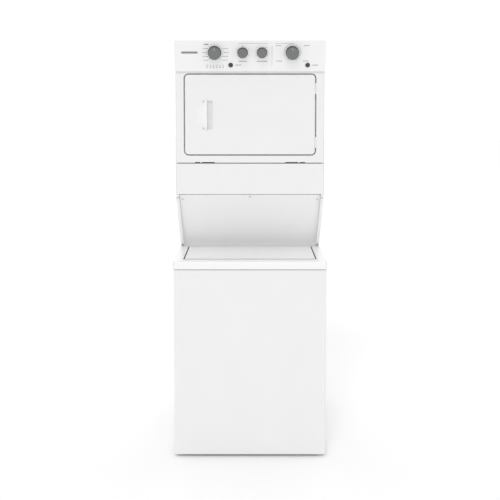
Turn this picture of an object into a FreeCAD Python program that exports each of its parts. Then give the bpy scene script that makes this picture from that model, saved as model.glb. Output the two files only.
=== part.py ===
import FreeCAD, Part
import math
import os

# Stacked laundry centre: a top-loading washer below a front-loading dryer.
# Frame: +Z up, front faces -Y, origin under the middle of the outline, on the floor.
# Depth is stated as s, the distance back from the front edge of the washer's top.

V = FreeCAD.Vector

# ---------------------------------------------------------------- driving dimensions
OVERALL_WIDTH = 692.0
OVERALL_DEPTH = 820.0
OVERALL_HEIGHT = 1892.0
FRONT = -OVERALL_DEPTH / 2.0
SHEET = 1.2                     # folded sheet steel
FLANGE = 14.0                   # width of a folded flange
SEAM = 1.0                      # air between two panels
CABINET_BACK = 799.0            # outer face of both rear panels

# washer cabinet
CABINET_HALF = 343.75
CABINET_FRONT = 4.0
CABINET_BOTTOM = 13.0
FASCIA_BOTTOM = 864.0
CABINET_TOP = FASCIA_BOTTOM - 3.0
DECK = 899.0                    # top surface of the washer
CORNER = 10.0                   # vertical front corners
WRAP = 28.0                     # how far the front panel wraps round each side

# lid in the washer's top
LID_HALF = 298.0
LID_FRONT = 62.5
LID_AXIS_S = 387.0
LID_THICK = 10.0
LID_SIDE_GAP = 6.0
LID_FRONT_GAP = 3.5
LID_BACK_GAP = 1.5
LID_SHELF = 884.0               # ledge under the lid
LID_PIN = 2.5
LID_AXIS_Z = DECK - LID_THICK / 2.0
PIN_CLEARANCE = 0.05

# washer tub, all round one upright axis
TUB_S = 325.0
TUB_RADIUS = 275.0
TUB_FLOOR = 230.0
TUB_TOP = 800.0
TUB_WALL = 3.0
BASKET_RADIUS = 255.0
BASKET_WALL = 1.5
BASKET_FLOOR = 246.0
BASKET_TOP = 770.0
MOUTH_RADIUS = 226.0
ROD_OFFSET = 250.0              # suspension rods, each way from the tub's axis
DRIVE_LEVEL = 70.0              # underside of the drive belt
DRIVE_PULLEY_RADIUS = 105.0
WASHER_PULLEY_RADIUS = 18.0
WASHER_MOTOR_X = 150.0
WASHER_MOTOR_S = 560.0
BELT_GAP = 0.3
BELT_THICK = 3.0

# dryer cabinet
DRYER_HALF = 342.5
DRYER_FRONT = 140.0
DRYER_BOTTOM = 1187.0
DRYER_TOP = 1889.0
PANEL_DEPTH = 20.0
SEAM_LOW = 1329.0               # top of the lower access panel
SEAM_HIGH = 1333.0              # bottom of the door frame panel
FACE_TOP = 1750.0
BRACKET_FOOT_S = 405.0          # where the slanted bracket edge meets the washer

# dryer door
DOOR_HALF = 299.0
DOOR_LOW = 1371.6
DOOR_HIGH = 1737.9
DOOR_GAP = 6.0
DOOR_CORNER = 17.0
DOOR_SKIN_DEPTH = 10.0
DOOR_AXIS_X = DOOR_HALF + DOOR_GAP / 2.0
DOOR_AXIS_S = DRYER_FRONT - 0.5
HINGE_LEVELS = (1674.0, 1427.0)
HINGE_LENGTH = 51.0
HINGE_BARREL = 2.6
OPENING_HALF = 250.0
OPENING_LOW = 1409.0
OPENING_HIGH = 1705.0
OPENING_CORNER = 60.0
GRIP_LEFT = -239.0
GRIP_RIGHT = -197.0
GRIP_LOW = 1480.0
GRIP_HIGH = 1626.0
GRIP_PROUD = 17.0
POCKET_RIGHT = -173.0
POCKET_DEPTH = 8.0

# dryer drum, round one axis that runs front to back
DRUM_Z = 1545.0
DRUM_RADIUS = 290.0
DRUM_WALL = 1.0
DRUM_FRONT = 205.0
DRUM_BACK = 762.0
DRUM_BELT_S = 732.0
BAFFLE_HEIGHT = 45.0
BULKHEAD_FRONT = 196.0
BULKHEAD_BACK = 767.0
ROLLER_RADIUS = 32.0
ROLLER_ANGLE = 32.0
ROLLER_PIN = 6.0
BLOWER_X = -150.0
BLOWER_Z = 1090.0
BLOWER_S = 503.0
DRYER_PULLEY_RADIUS = 14.0
IDLER_X = -20.0
IDLER_Z = 1120.0
IDLER_RADIUS = 26.0
IDLER_PIN = 5.0
EXHAUST_X = 30.0
EXHAUST_Z = 1010.0
EXHAUST_RADIUS = 50.8
DUCT_LEFT = -220.0
DUCT_RIGHT = -80.0

# console, whose face leans forward at the top
CONSOLE_HALF = 345.0
CONSOLE_BOTTOM = 1751.0
CONSOLE_FOOT_S = 132.0
CONSOLE_BROW_S = 90.0
CONSOLE_BROW_Z = 1888.0
CONSOLE_WALL = 2.5
KNOB_LEVEL = 1837.0
BUTTON_LEVEL = 1781.0
LIGHT_LEVEL = 1771.0
TIMER_KNOB_RADIUS = 31.0
TIMER_KNOB_HEIGHT = 27.0
SELECTOR_RADIUS = 24.0
SELECTOR_HEIGHT = 25.0
WASHER_TIMER_X = -161.0
DRYER_TIMER_X = 192.5
TEMPERATURE_X = -33.5
LOAD_X = 54.5
BUTTON_RADIUS = 10.0
BUTTON_HOLE = 10.6
SIGNAL_BUTTON_X = -88.0
START_BUTTON_X = 263.0
LIGHT_XS = tuple(-196.0 + 14.6 * i for i in range(6))
LIGHT_HALF = 3.4

# small pieces and services
FOOT_PAD = 19.0
FOOT_STUD = 6.0
STRIKE_X = 200.0
ROD_RADIUS = 3.0
VALVE_X = -190.0
VALVE_Z = 800.0
VALVE_HALF_PITCH = 25.0
VALVE_RADIUS = 13.2
DRAIN_X = -250.0
DRAIN_Z = 104.0
DRAIN_RADIUS = 14.0
SUPPLY_X = 250.0
SUPPLY_Z = 960.0
SUPPLY_RADIUS = 14.3
RECESS_HALF = 327.0
WALL_HEAD = (166.0, 1177.0)     # ends of the flat part of the wall behind the lid, as (s, z)
WALL_FOOT = (386.0, 937.0)
WALL_SCREWS = ((0.0, 1172.0), (315.0, 1158.0))
STUB_START = 800.0              # where the collars outside the back begin
STUB_END = 818.0
NECKING = 0.8                   # how much slimmer a pipe is before its collar
SCREW_PLACES = ((334.5, 156.0), (335.0, 397.0))
HEATER_PORT_X = (110.0, 230.0)


# ---------------------------------------------------------------- shared shapes
def box(x, s, z):
    """Box from its spans across (x), back from the front edge (s) and up (z)."""
    return Part.makeBox(x[1] - x[0], s[1] - s[0], z[1] - z[0], V(x[0], FRONT + s[0], z[0]))


def edges_along(shape, direction, keep=None):
    """Straight edges of a shape along a direction; keep narrows them by their middle point."""
    found = []
    for edge in shape.Edges:
        if len(edge.Vertexes) != 2:
            continue
        run = edge.Vertexes[1].Point - edge.Vertexes[0].Point
        if abs(abs(run.normalize().dot(direction)) - 1.0) > 1e-6:
            continue
        middle = (edge.Vertexes[0].Point + edge.Vertexes[1].Point) * 0.5
        if keep is None or keep(middle):
            found.append(edge)
    return found


def rounded_box(x, s, z, radius, direction, keep=None):
    """Box whose edges along a direction are rounded."""
    solid = box(x, s, z)
    return solid.makeFillet(radius, edges_along(solid, direction, keep))


def span(half):
    """Span that is the same to the left and to the right."""
    return (-half, half)


def grown(limits, by):
    """Span made longer at both ends, or shorter where by is negative."""
    return (limits[0] - by, limits[1] + by)


def post(x, s, z, radius):
    """Upright cylinder."""
    return Part.makeCylinder(radius, z[1] - z[0], V(x, FRONT + s, z[0]), V(0, 0, 1))


def barrel(x, z, s, radius):
    """Cylinder whose axis runs front to back."""
    return Part.makeCylinder(radius, s[1] - s[0], V(x, FRONT + s[0], z), V(0, 1, 0))


def crossbar(s, z, x, radius):
    """Cylinder whose axis runs left to right."""
    return Part.makeCylinder(radius, x[1] - x[0], V(x[0], FRONT + s, z), V(1, 0, 0))


def side_prism(outline, x):
    """Outline given as (s, z) points, carried across from x[0] to x[1]."""
    points = [V(x[0], FRONT + s, z) for s, z in outline]
    points.append(points[0])
    face = Part.Face(Part.makePolygon(points))
    return face.extrude(V(x[1] - x[0], 0, 0))


def revolve(outline, x, s):
    """Outline of (radius, z) points turned about an upright axis."""
    points = [V(x + r, FRONT + s, z) for r, z in outline]
    points.append(points[0])
    face = Part.Face(Part.makePolygon(points))
    return face.revolve(V(x, FRONT + s, 0), V(0, 0, 1), 360)


def fused(shapes):
    """One solid from several that touch."""
    joined = shapes[0]
    if len(shapes) > 1:
        joined = joined.fuse(shapes[1:])
    return joined.removeSplitter()


def cut(shape, tools):
    """A shape with each tool taken away."""
    for tool in tools:
        shape = shape.cut(tool)
    return shape


def group(shapes):
    """Separate identical pieces kept in one node."""
    return Part.makeCompound(shapes)


def mirror_x(shape):
    """The same piece for the other side of the machine."""
    return shape.mirror(V(0, 0, 0), V(1, 0, 0))


def tangent_loop(circles, place):
    """Face inside a tight band round circles given in order as (u, v, radius).

    place turns a point (u, v) into a vector. The circles run anticlockwise.
    """
    touch = []
    count = len(circles)
    for i in range(count):
        u0, v0, r0 = circles[i]
        u1, v1, r1 = circles[(i + 1) % count]
        gap = math.hypot(u1 - u0, v1 - v0)
        heading = math.atan2(v1 - v0, u1 - u0)
        normal = heading - math.acos((r0 - r1) / gap)
        touch.append((normal, (u0 + r0 * math.cos(normal), v0 + r0 * math.sin(normal)),
                      (u1 + r1 * math.cos(normal), v1 + r1 * math.sin(normal))))
    edges = []
    for i in range(count):
        u, v, radius = circles[i]
        arrive = touch[i - 1][0]
        leave = touch[i][0]
        turn = (leave - arrive) % (2 * math.pi)
        middle = arrive + turn / 2.0
        start = place(*touch[i - 1][2])
        end = place(*touch[i][1])
        over = place(u + radius * math.cos(middle), v + radius * math.sin(middle))
        edges.append(Part.Arc(start, over, end).toShape())
        edges.append(Part.LineSegment(end, place(*touch[i][2])).toShape())
    return Part.Face(Part.Wire(Part.__sortEdges__(edges)))


def belt(circles, place, run):
    """Flat belt round circles; run is the vector of its width."""
    inner = [(u, v, r + BELT_GAP) for u, v, r in circles]
    outer = [(u, v, r + BELT_GAP + BELT_THICK) for u, v, r in circles]
    band = tangent_loop(outer, place).cut(tangent_loop(inner, place))
    return band.extrude(run)


# ---------------------------------------------------------------- washer cabinet
def washer_front_panel():
    """Front skin that wraps round both sides, folded in at the top and foot."""
    x = span(CABINET_HALF)
    s = (CABINET_FRONT, CABINET_FRONT + WRAP)
    z = (CABINET_BOTTOM, CABINET_TOP)

    def at_front(point):
        return point.y < FRONT + CABINET_FRONT + 1.0

    skin = rounded_box(x, s, z, CORNER, V(0, 0, 1), at_front)
    hollow = rounded_box(grown(x, -SHEET), (s[0] + SHEET, s[1] + WRAP), grown(z, -SHEET),
                         CORNER - SHEET, V(0, 0, 1),
                         lambda point: point.y < FRONT + CABINET_FRONT + 2 * SHEET)
    return skin.cut(hollow)


def washer_cabinet():
    """Wrap of both sides and the back, folded in along its top and foot."""
    s = (CABINET_FRONT + WRAP + SEAM, CABINET_BACK)
    z = (CABINET_BOTTOM, CABINET_TOP)
    wrap = box(span(CABINET_HALF), s, z)
    inside = box(span(CABINET_HALF - SHEET), (s[0] - 1.0, s[1] - SHEET), grown(z, -SHEET))
    through = box(span(CABINET_HALF - FLANGE), (s[0] - 1.0, s[1] - FLANGE), grown(z, 1.0))
    holes = [barrel(VALVE_X + side * VALVE_HALF_PITCH, VALVE_Z, (770.0, 820.0), VALVE_RADIUS + 1.5)
             for side in (-1, 1)]
    holes.append(barrel(DRAIN_X, DRAIN_Z, (770.0, 820.0), DRAIN_RADIUS + 1.5))
    return cut(wrap, [inside, through] + holes)


def washer_base():
    """Floor pan with a hole under the drive and four holes for the feet."""
    x = span(CABINET_HALF - 3.0)
    s = (37.0, 782.0)
    pan = box(x, s, (15.5, 40.0)).cut(box(grown(x, -2.0), grown(s, -2.0), (14.0, 38.0)))
    drive_hole = box((-190.0, 240.0), (150.0, 660.0), (10.0, 50.0))
    feet = [post(fx, fs, (10.0, 50.0), FOOT_STUD + 0.4) for fx, fs in foot_places()]
    return cut(pan, [drive_hole] + feet)


def foot_places():
    """Where the four feet stand, as (x, s)."""
    return [(fx, fs) for fx in (-300.0, 300.0) for fs in (80.0, 740.0)]


def levelling_feet():
    """Four feet, each a pad, a threaded stud and its lock nut."""
    feet = []
    for fx, fs in foot_places():
        pad = post(fx, fs, (0.0, 9.0), FOOT_PAD)
        stud = post(fx, fs, (9.0, 62.0), FOOT_STUD)
        nut = post(fx, fs, (29.0, 37.0), FOOT_STUD * 1.9)
        feet.append(fused([pad, stud, nut]))
    return group(feet)


def washer_top():
    """Deck with a rolled front edge, a sunk shelf for the lid and the lid's pin holes."""
    s = (0.0, CABINET_BACK)
    deck = box(span(OVERALL_WIDTH / 2), s, (FASCIA_BOTTOM, DECK))
    upright = edges_along(deck, V(0, 0, 1), lambda point: point.y < FRONT + 1.0)
    deck = deck.makeFillet(8.0, upright)
    brow = edges_along(deck, V(1, 0, 0), lambda p: p.y < FRONT + 1.0 and p.z > DECK - 1.0)
    sides = edges_along(deck, V(0, 1, 0), lambda p: p.z > DECK - 1.0)
    deck = deck.makeFillet(5.0, brow + sides)
    inside = box(span(OVERALL_WIDTH / 2 - 2.0), (2.0, CABINET_BACK - 2.0),
                 (FASCIA_BOTTOM - 1.0, DECK - 1.6))
    deck = deck.cut(inside)
    well_x = span(LID_HALF + LID_SIDE_GAP)
    well_s = (LID_FRONT - LID_FRONT_GAP, LID_AXIS_S + LID_THICK / 2 + LID_BACK_GAP)
    frame = box(grown(well_x, 2.0), grown(well_s, 2.0), (LID_SHELF - 2.0, DECK - 1.0))
    bosses = [box(b, (LID_AXIS_S - 5.0, LID_AXIS_S + 5.0), (LID_SHELF - 2.0, DECK - 1.0))
              for b in ((well_x[1], well_x[1] + 12.0), (well_x[0] - 12.0, well_x[0]))]
    deck = fused([deck, frame] + bosses)
    well = box(well_x, well_s, (LID_SHELF, DECK + 5.0))
    mouth = rounded_box(span(272.0), (82.0, 372.0), (LID_SHELF - 9.0, LID_SHELF + 9.0), 30.0,
                        V(0, 0, 1))
    strike_slot = box((STRIKE_X - 11.0, STRIKE_X + 11.0), (64.0, 79.0), (LID_SHELF - 9.0, LID_SHELF + 1.0))
    bore = crossbar(LID_AXIS_S, LID_AXIS_Z, span(LID_HALF + LID_SIDE_GAP + 20.0), LID_PIN + PIN_CLEARANCE)
    return cut(deck, [well, mouth, strike_slot, bore])


def washer_lid():
    """Flat pressed lid with a round back edge, two stub pins and a strike."""
    z = (DECK - LID_THICK, DECK)
    plate = box(span(LID_HALF), (LID_FRONT, LID_AXIS_S), z)
    front = edges_along(plate, V(0, 0, 1), lambda point: point.y < FRONT + LID_FRONT + 1.0)
    plate = plate.makeFillet(12.0, front)
    back = crossbar(LID_AXIS_S, LID_AXIS_Z, span(LID_HALF), LID_THICK / 2)
    pins = crossbar(LID_AXIS_S, LID_AXIS_Z, span(LID_HALF + LID_SIDE_GAP + 10.0), LID_PIN)
    hollow = box(span(LID_HALF - 4.0), (LID_FRONT + 14.0, LID_AXIS_S - 8.0), (z[0] - 1.0, z[1] - 1.8))
    strike = box((STRIKE_X - 8.0, STRIKE_X + 8.0), (LID_FRONT + 5.0, LID_FRONT + 12.0), (868.0, z[0] + 1.0))
    return fused([cut(fused([plate, back]), [hollow]), pins, strike])


# ---------------------------------------------------------------- washer tub and drive
def outer_tub():
    """Water tub with four ears for the suspension rods."""
    ears = []
    for sx in (-1, 1):
        for ss in (-1, 1):
            ear = box((180.0, ROD_OFFSET + 12.0), (TUB_S + 180.0, TUB_S + ROD_OFFSET + 12.0), (330.0, 340.0))
            if sx < 0:
                ear = mirror_x(ear)
            if ss < 0:
                ear = ear.mirror(V(0, FRONT + TUB_S, 0), V(0, 1, 0))
            ears.append(ear)
    shell = fused([post(0.0, TUB_S, (TUB_FLOOR, TUB_TOP), TUB_RADIUS)] + ears)
    inside = post(0.0, TUB_S, (TUB_FLOOR + TUB_WALL, TUB_TOP + 1.0), TUB_RADIUS - TUB_WALL)
    neck = post(0.0, TUB_S, (TUB_FLOOR - 1.0, TUB_FLOOR + 9.0), 31.0)
    holes = [post(rx, rs, (320.0, 350.0), ROD_RADIUS + 1.0) for rx, rs in rod_places()]
    return cut(shell, [inside, neck] + holes)


def rod_places():
    """Where the four suspension rods hang, as (x, s)."""
    return [(sx * ROD_OFFSET, TUB_S + ss * ROD_OFFSET) for sx in (-1, 1) for ss in (-1, 1)]


def suspension_rods():
    """Four rods with a ball at the top and a spring cup under each ear."""
    rods = []
    for rx, rs in rod_places():
        stem = post(rx, rs, (290.0, 850.0), ROD_RADIUS)
        cup = post(rx, rs, (296.0, 328.0), 11.0)
        ball = Part.makeSphere(9.0, V(rx, FRONT + rs, 848.0))
        rods.append(fused([stem, cup, ball]))
    return group(rods)


def tub_ring():
    """Splash ring that closes the gap between tub and basket."""
    outline = [(MOUTH_RADIUS, 801.0), (TUB_RADIUS + 5.0, 801.0), (TUB_RADIUS + 5.0, 808.0),
               (MOUTH_RADIUS + 9.0, 808.0), (MOUTH_RADIUS, 804.0)]
    ring = revolve(outline, 0.0, TUB_S)
    skirt = post(0.0, TUB_S, (784.0, 802.0), TUB_RADIUS + 5.0)
    return fused([ring, skirt.cut(post(0.0, TUB_S, (780.0, 806.0), TUB_RADIUS + 0.5))])


def basket():
    """Spin basket with a hub that turns in the tub's neck."""
    shell = post(0.0, TUB_S, (BASKET_FLOOR, BASKET_TOP), BASKET_RADIUS)
    inside = post(0.0, TUB_S, (BASKET_FLOOR + 2.0, BASKET_TOP + 1.0), BASKET_RADIUS - BASKET_WALL)
    hub = post(0.0, TUB_S, (232.0, BASKET_FLOOR + 20.0), 27.0)
    bore = post(0.0, TUB_S, (220.0, BASKET_FLOOR + 30.0), 12.0)
    return cut(fused([shell.cut(inside), hub]), [bore])


def balance_ring():
    """Fluid-filled ring round the basket's mouth."""
    outline = [(MOUTH_RADIUS + 3.0, BASKET_TOP - 26.0), (BASKET_RADIUS - BASKET_WALL - 0.1, BASKET_TOP - 26.0),
               (BASKET_RADIUS - BASKET_WALL - 0.1, BASKET_TOP), (BASKET_RADIUS, BASKET_TOP),
               (BASKET_RADIUS, BASKET_TOP + 24.0), (MOUTH_RADIUS + 3.0, BASKET_TOP + 24.0)]
    return revolve(outline, 0.0, TUB_S)


def agitator():
    """Hollow post on a flared skirt, with four fins and a drive stub."""
    floor = BASKET_FLOOR + 22.0
    outline = [(0.0, 740.0), (34.0, 738.0), (50.0, 724.0), (56.0, 560.0), (62.0, 400.0), (80.0, 330.0),
               (130.0, 292.0), (150.0, floor + 4.0), (150.0, floor)]
    outside = revolve(outline + [(0.0, floor)], 0.0, TUB_S)
    wall = 3.0
    inner = [(max(r - wall, 0.0), z - wall) for r, z in outline[:-1]] + [(147.0, floor - 1.0), (0.0, floor - 1.0)]
    shell = outside.cut(revolve(inner, 0.0, TUB_S))
    fins = []
    for i in range(4):
        fin = side_prism([(TUB_S + 53.0, 560.0), (TUB_S + 76.0, 540.0), (TUB_S + 96.0, 360.0),
                          (TUB_S + 142.0, 300.0), (TUB_S + 132.0, 285.0), (TUB_S + 62.0, 320.0)], (-4.0, 4.0))
        fin.rotate(V(0, FRONT + TUB_S, 0), V(0, 0, 1), 45.0 + 90.0 * i)
        fins.append(fin.cut(revolve(inner, 0.0, TUB_S)))
    stub = post(0.0, TUB_S, (223.0, 739.0), 9.0)
    return fused([shell, stub] + fins)


def gearcase():
    """Gear housing under the tub, with the plate that carries the motor."""
    case = post(0.0, TUB_S, (92.0, 212.0), 70.0)
    neck = post(0.0, TUB_S, (211.0, 229.0), 26.0)
    plate = box((-90.0, 225.0), (TUB_S - 90.0, WASHER_MOTOR_S + 70.0), (206.0, 212.0))
    bore = post(0.0, TUB_S, (216.0, 240.0), 9.5)
    return cut(fused([case, neck, plate]), [bore])


def drive_pulley():
    """Large pulley under the gearcase."""
    rim = post(0.0, TUB_S, (DRIVE_LEVEL - 3.0, DRIVE_LEVEL + 13.0), DRIVE_PULLEY_RADIUS)
    hub = post(0.0, TUB_S, (DRIVE_LEVEL - 3.0, 91.5), 20.0)
    dish = rim.cut(post(0.0, TUB_S, (DRIVE_LEVEL + 5.0, DRIVE_LEVEL + 30.0), DRIVE_PULLEY_RADIUS - 10.0))
    lightening = [post(62.0 * math.cos(a), TUB_S + 62.0 * math.sin(a), (60.0, 95.0), 18.0)
                  for a in (math.pi / 3 * k for k in range(6))]
    return cut(fused([dish, hub]), lightening)


def washer_motor():
    """Motor that hangs under the plate beside the gearcase."""
    can = post(WASHER_MOTOR_X, WASHER_MOTOR_S, (98.0, 205.5), 58.0)
    boss = post(WASHER_MOTOR_X, WASHER_MOTOR_S, (92.0, 99.0), 20.0)
    return fused([can, boss])


def motor_pulley():
    """Small pulley on the washer's motor."""
    body = post(WASHER_MOTOR_X, WASHER_MOTOR_S, (DRIVE_LEVEL, DRIVE_LEVEL + 10.0), WASHER_PULLEY_RADIUS)
    lip = post(WASHER_MOTOR_X, WASHER_MOTOR_S, (DRIVE_LEVEL - 3.0, DRIVE_LEVEL - 0.5), WASHER_PULLEY_RADIUS + 3.0)
    hub = post(WASHER_MOTOR_X, WASHER_MOTOR_S, (DRIVE_LEVEL - 3.0, 91.5), 9.0)
    return fused([body, lip, hub])


def washer_belt():
    """Belt from the motor to the gearcase."""
    circles = [(0.0, TUB_S, DRIVE_PULLEY_RADIUS), (WASHER_MOTOR_X, WASHER_MOTOR_S, WASHER_PULLEY_RADIUS)]

    def place(u, v):
        return V(u, FRONT + v, DRIVE_LEVEL)

    return belt(circles, place, V(0, 0, 9.0))


def drain_pump():
    """Pump on the floor pan with its pipe to the back."""
    body = post(DRAIN_X, 120.0, (60.0, 128.0), 38.0)
    leg = box((DRAIN_X - 16.0, DRAIN_X + 16.0), (100.0, 140.0), (40.5, 62.0))
    pipe = barrel(DRAIN_X, DRAIN_Z, (120.0, STUB_START), DRAIN_RADIUS - NECKING)
    stub = barrel(DRAIN_X, DRAIN_Z, (STUB_START, STUB_END), DRAIN_RADIUS)
    bore = barrel(DRAIN_X, DRAIN_Z, (700.0, STUB_END + 1.0), DRAIN_RADIUS - 3.5)
    return cut(fused([body, leg, pipe, stub]), [bore])


def inlet_valve():
    """Water valve with its hot and cold threaded stubs."""
    body = box((VALVE_X - 55.0, VALVE_X + 55.0), (735.0, 783.0), (VALVE_Z - 22.0, VALVE_Z + 22.0))
    centres = [VALVE_X + side * VALVE_HALF_PITCH for side in (-1, 1)]
    stubs = [barrel(x, VALVE_Z, (782.0, STUB_START), VALVE_RADIUS - NECKING) for x in centres]
    stubs += [barrel(x, VALVE_Z, (STUB_START, STUB_END), VALVE_RADIUS) for x in centres]
    bores = [barrel(x, VALVE_Z, (785.0, STUB_END + 1.0), VALVE_RADIUS - 3.5) for x in centres]
    return cut(fused([body] + stubs), bores)


# ---------------------------------------------------------------- between washer and dryer
def bracket_outline():
    """Side outline of the plates that carry the dryer, as (s, z)."""
    return [(DRYER_FRONT + 1.0, DRYER_BOTTOM - SEAM), (BRACKET_FOOT_S, DECK + SEAM),
            (CABINET_BACK - FLANGE, DECK + SEAM), (CABINET_BACK - FLANGE, DRYER_BOTTOM - SEAM)]


def left_bracket():
    """Folded side plate whose front flange slants back down to the washer."""
    outline = bracket_outline()
    x = (-DRYER_HALF, -DRYER_HALF + FLANGE)
    solid = side_prism(outline, x)
    slope = math.atan2(outline[0][1] - outline[1][1], outline[1][0] - outline[0][0])
    back = SHEET / math.sin(slope)
    low = outline[1][1] + SHEET
    high = outline[0][1] - SHEET
    run = 1.0 / math.tan(slope)
    inner = [(outline[0][0] + back + SHEET * run, high), (outline[1][0] + back - SHEET * run, low),
             (outline[2][0] - SHEET, low), (outline[3][0] - SHEET, high)]
    return solid.cut(side_prism(inner, (x[0] + SHEET, x[1] + 1.0)))


def right_bracket():
    """The same plate for the other side."""
    return mirror_x(left_bracket())


def recess_path():
    """Front line of the hollow wall behind the lid, as (s, z), from the top down."""
    return [(147.0, 1184.0), (156.0, 1183.4), (162.0, 1180.8), WALL_HEAD, WALL_FOOT, (398.0, 923.0),
            (404.0, 912.0), (406.0, 902.0)]


def recess_panel():
    """Hollow wall with cheeks that run forward to the bracket flanges."""
    path = recess_path()
    behind = [(s + 2.0, z + 1.6) for s, z in path]
    wall = side_prism(path + behind[::-1], span(RECESS_HALF))
    cheek = side_prism([behind[0], (146.0, 1182.0), (151.0, 1176.0), (401.0, 904.0), (405.0, 902.5)]
                       + behind[:1:-1], (-RECESS_HALF, -RECESS_HALF + SHEET))
    foot = box(span(RECESS_HALF), (406.5, 432.0), (902.2, 903.6))
    return fused([wall, cheek, mirror_x(cheek), foot])


def panel_screws():
    """Screws in the bracket flanges, at their feet and under the dryer."""
    slope = math.atan2(DRYER_BOTTOM - DECK, BRACKET_FOOT_S - DRYER_FRONT)
    outward = V(0, -math.sin(slope), -math.cos(slope))
    screws = []
    for x, s in SCREW_PLACES:
        z = DRYER_BOTTOM - (s - DRYER_FRONT) * math.tan(slope)
        base = V(x, FRONT + s + 1.0, z - 1.0 + SEAM) + outward * 1.6
        head = Part.makeCylinder(3.6, 2.6, base, outward)
        screws.append(head)
        screws.append(mirror_x(head))
    lean = (WALL_FOOT[0] - WALL_HEAD[0]) / (WALL_HEAD[1] - WALL_FOOT[1])
    outward = V(0, -1.0, -lean)
    outward.normalize()
    for x, z in WALL_SCREWS:
        surface = V(x, FRONT + WALL_HEAD[0] + (WALL_HEAD[1] - z) * lean, z)
        head = Part.makeCylinder(3.6, 2.4, surface + outward * 0.1, outward)
        screws.append(head)
        if x:
            screws.append(mirror_x(head))
    return group(screws)


# ---------------------------------------------------------------- dryer cabinet
def dryer_left_side():
    """Folded side panel."""
    s = (DRYER_FRONT + PANEL_DEPTH + 1.2 + SEAM, CABINET_BACK - FLANGE - 1.0)
    z = (DRYER_BOTTOM, DRYER_TOP - FLANGE - 0.5)
    panel = box((-DRYER_HALF, -DRYER_HALF + FLANGE), s, z)
    return panel.cut(box((-DRYER_HALF + SHEET, -DRYER_HALF + FLANGE + 1.0), grown(s, -SHEET), grown(z, -SHEET)))


def dryer_right_side():
    """The same panel for the other side."""
    return mirror_x(dryer_left_side())


def dryer_top():
    """Lid of the dryer cabinet, folded down all round."""
    x = span(DRYER_HALF)
    s = (DRYER_FRONT + PANEL_DEPTH + 1.5, CABINET_BACK)
    top = box(x, s, (DRYER_TOP - FLANGE, DRYER_TOP))
    top = top.makeFillet(3.0, edges_along(top, V(0, 1, 0), lambda p: p.z > DRYER_TOP - 1.0))
    return top.cut(box(grown(x, -SHEET), grown(s, -SHEET), (DRYER_TOP - FLANGE - 1.0, DRYER_TOP - SHEET)))


def dryer_rear_panel():
    """Back panel from the washer's deck to the top, with its service holes."""
    x = span(DRYER_HALF)
    z = (DECK + SEAM, DRYER_TOP - FLANGE - 0.5)
    panel = box(x, (CABINET_BACK - FLANGE + 0.5, CABINET_BACK), z)
    panel = panel.cut(box(grown(x, -SHEET), (CABINET_BACK - FLANGE - 1.0, CABINET_BACK - SHEET), grown(z, -SHEET)))
    exhaust = barrel(EXHAUST_X, EXHAUST_Z, (770.0, 830.0), EXHAUST_RADIUS + 1.5)
    supply = barrel(SUPPLY_X, SUPPLY_Z, (770.0, 830.0), SUPPLY_RADIUS)
    return cut(panel, [exhaust, supply])


def opening(s, by=0.0):
    """Rounded block through the door opening, made larger all round by a margin."""
    return rounded_box(grown(span(OPENING_HALF), by), s, grown((OPENING_LOW, OPENING_HIGH), by),
                       OPENING_CORNER + by, V(0, 1, 0))


def dryer_front_panel():
    """Panel with the sunk seat of the door and the drum's opening."""
    x = span(DRYER_HALF)
    z = (SEAM_HIGH, FACE_TOP)
    s = (DRYER_FRONT, DRYER_FRONT + PANEL_DEPTH + SHEET)
    skin = box(x, s, z)
    skin = skin.makeFillet(5.0, edges_along(skin, V(0, 0, 1), lambda p: p.y < FRONT + DRYER_FRONT + 1.0))
    skin = skin.cut(box(grown(x, -SHEET), (s[0] + SHEET, s[1] + 1.0), grown(z, -SHEET)))
    seat_x = span(DOOR_HALF + DOOR_GAP)
    seat_z = (DOOR_LOW - DOOR_GAP, DOOR_HIGH + DOOR_GAP)
    tub = rounded_box(grown(seat_x, SHEET), s, grown(seat_z, SHEET), DOOR_CORNER + DOOR_GAP, V(0, 1, 0))
    seat = rounded_box(seat_x, (s[0] - 1.0, DRYER_FRONT + PANEL_DEPTH), seat_z, DOOR_CORNER + DOOR_GAP,
                       V(0, 1, 0))
    notches = [box(n, (DRYER_FRONT - 1.0, s[1] + 1.0), (SEAM_HIGH - 1.0, SEAM_HIGH + 3.0))
               for n in seam_notches()]
    return cut(fused([skin, tub]), [seat, opening((DRYER_FRONT, 170.0))] + notches)


def seam_notches():
    """Spans across where the folded edges at the seam are cut away."""
    right = [(163.0, 222.0), (229.0, 254.0)]
    return right + [(-b, -a) for a, b in right]


def access_panel():
    """Plain panel below the door."""
    x = span(DRYER_HALF)
    z = (DRYER_BOTTOM, SEAM_LOW)
    s = (DRYER_FRONT, DRYER_FRONT + PANEL_DEPTH)
    skin = box(x, s, z)
    skin = skin.makeFillet(5.0, edges_along(skin, V(0, 0, 1), lambda p: p.y < FRONT + DRYER_FRONT + 1.0))
    inside = box(grown(x, -SHEET), (s[0] + SHEET, s[1] + 1.0), grown(z, -SHEET))
    notches = [box(n, (DRYER_FRONT + SHEET, s[1] + 1.0), (SEAM_LOW - 3.0, SEAM_LOW + 1.0))
               for n in seam_notches()]
    return cut(skin, [inside] + notches)


def dryer_base():
    """Floor of the dryer with holes for the air duct and the belt."""
    floor = box(span(DRYER_HALF - 16.0), (164.0, BULKHEAD_BACK - 2.0), (DRYER_BOTTOM + 3.0, DRYER_BOTTOM + 5.0))
    duct = box((DUCT_LEFT - 4.0, DUCT_RIGHT + 4.0), (452.0, 506.0), (1180.0, 1200.0))
    slot = box((-260.0, 160.0), (DRUM_BELT_S - 14.0, DRUM_BELT_S + 14.0), (1180.0, 1200.0))
    return cut(floor, [duct, slot])


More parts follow.
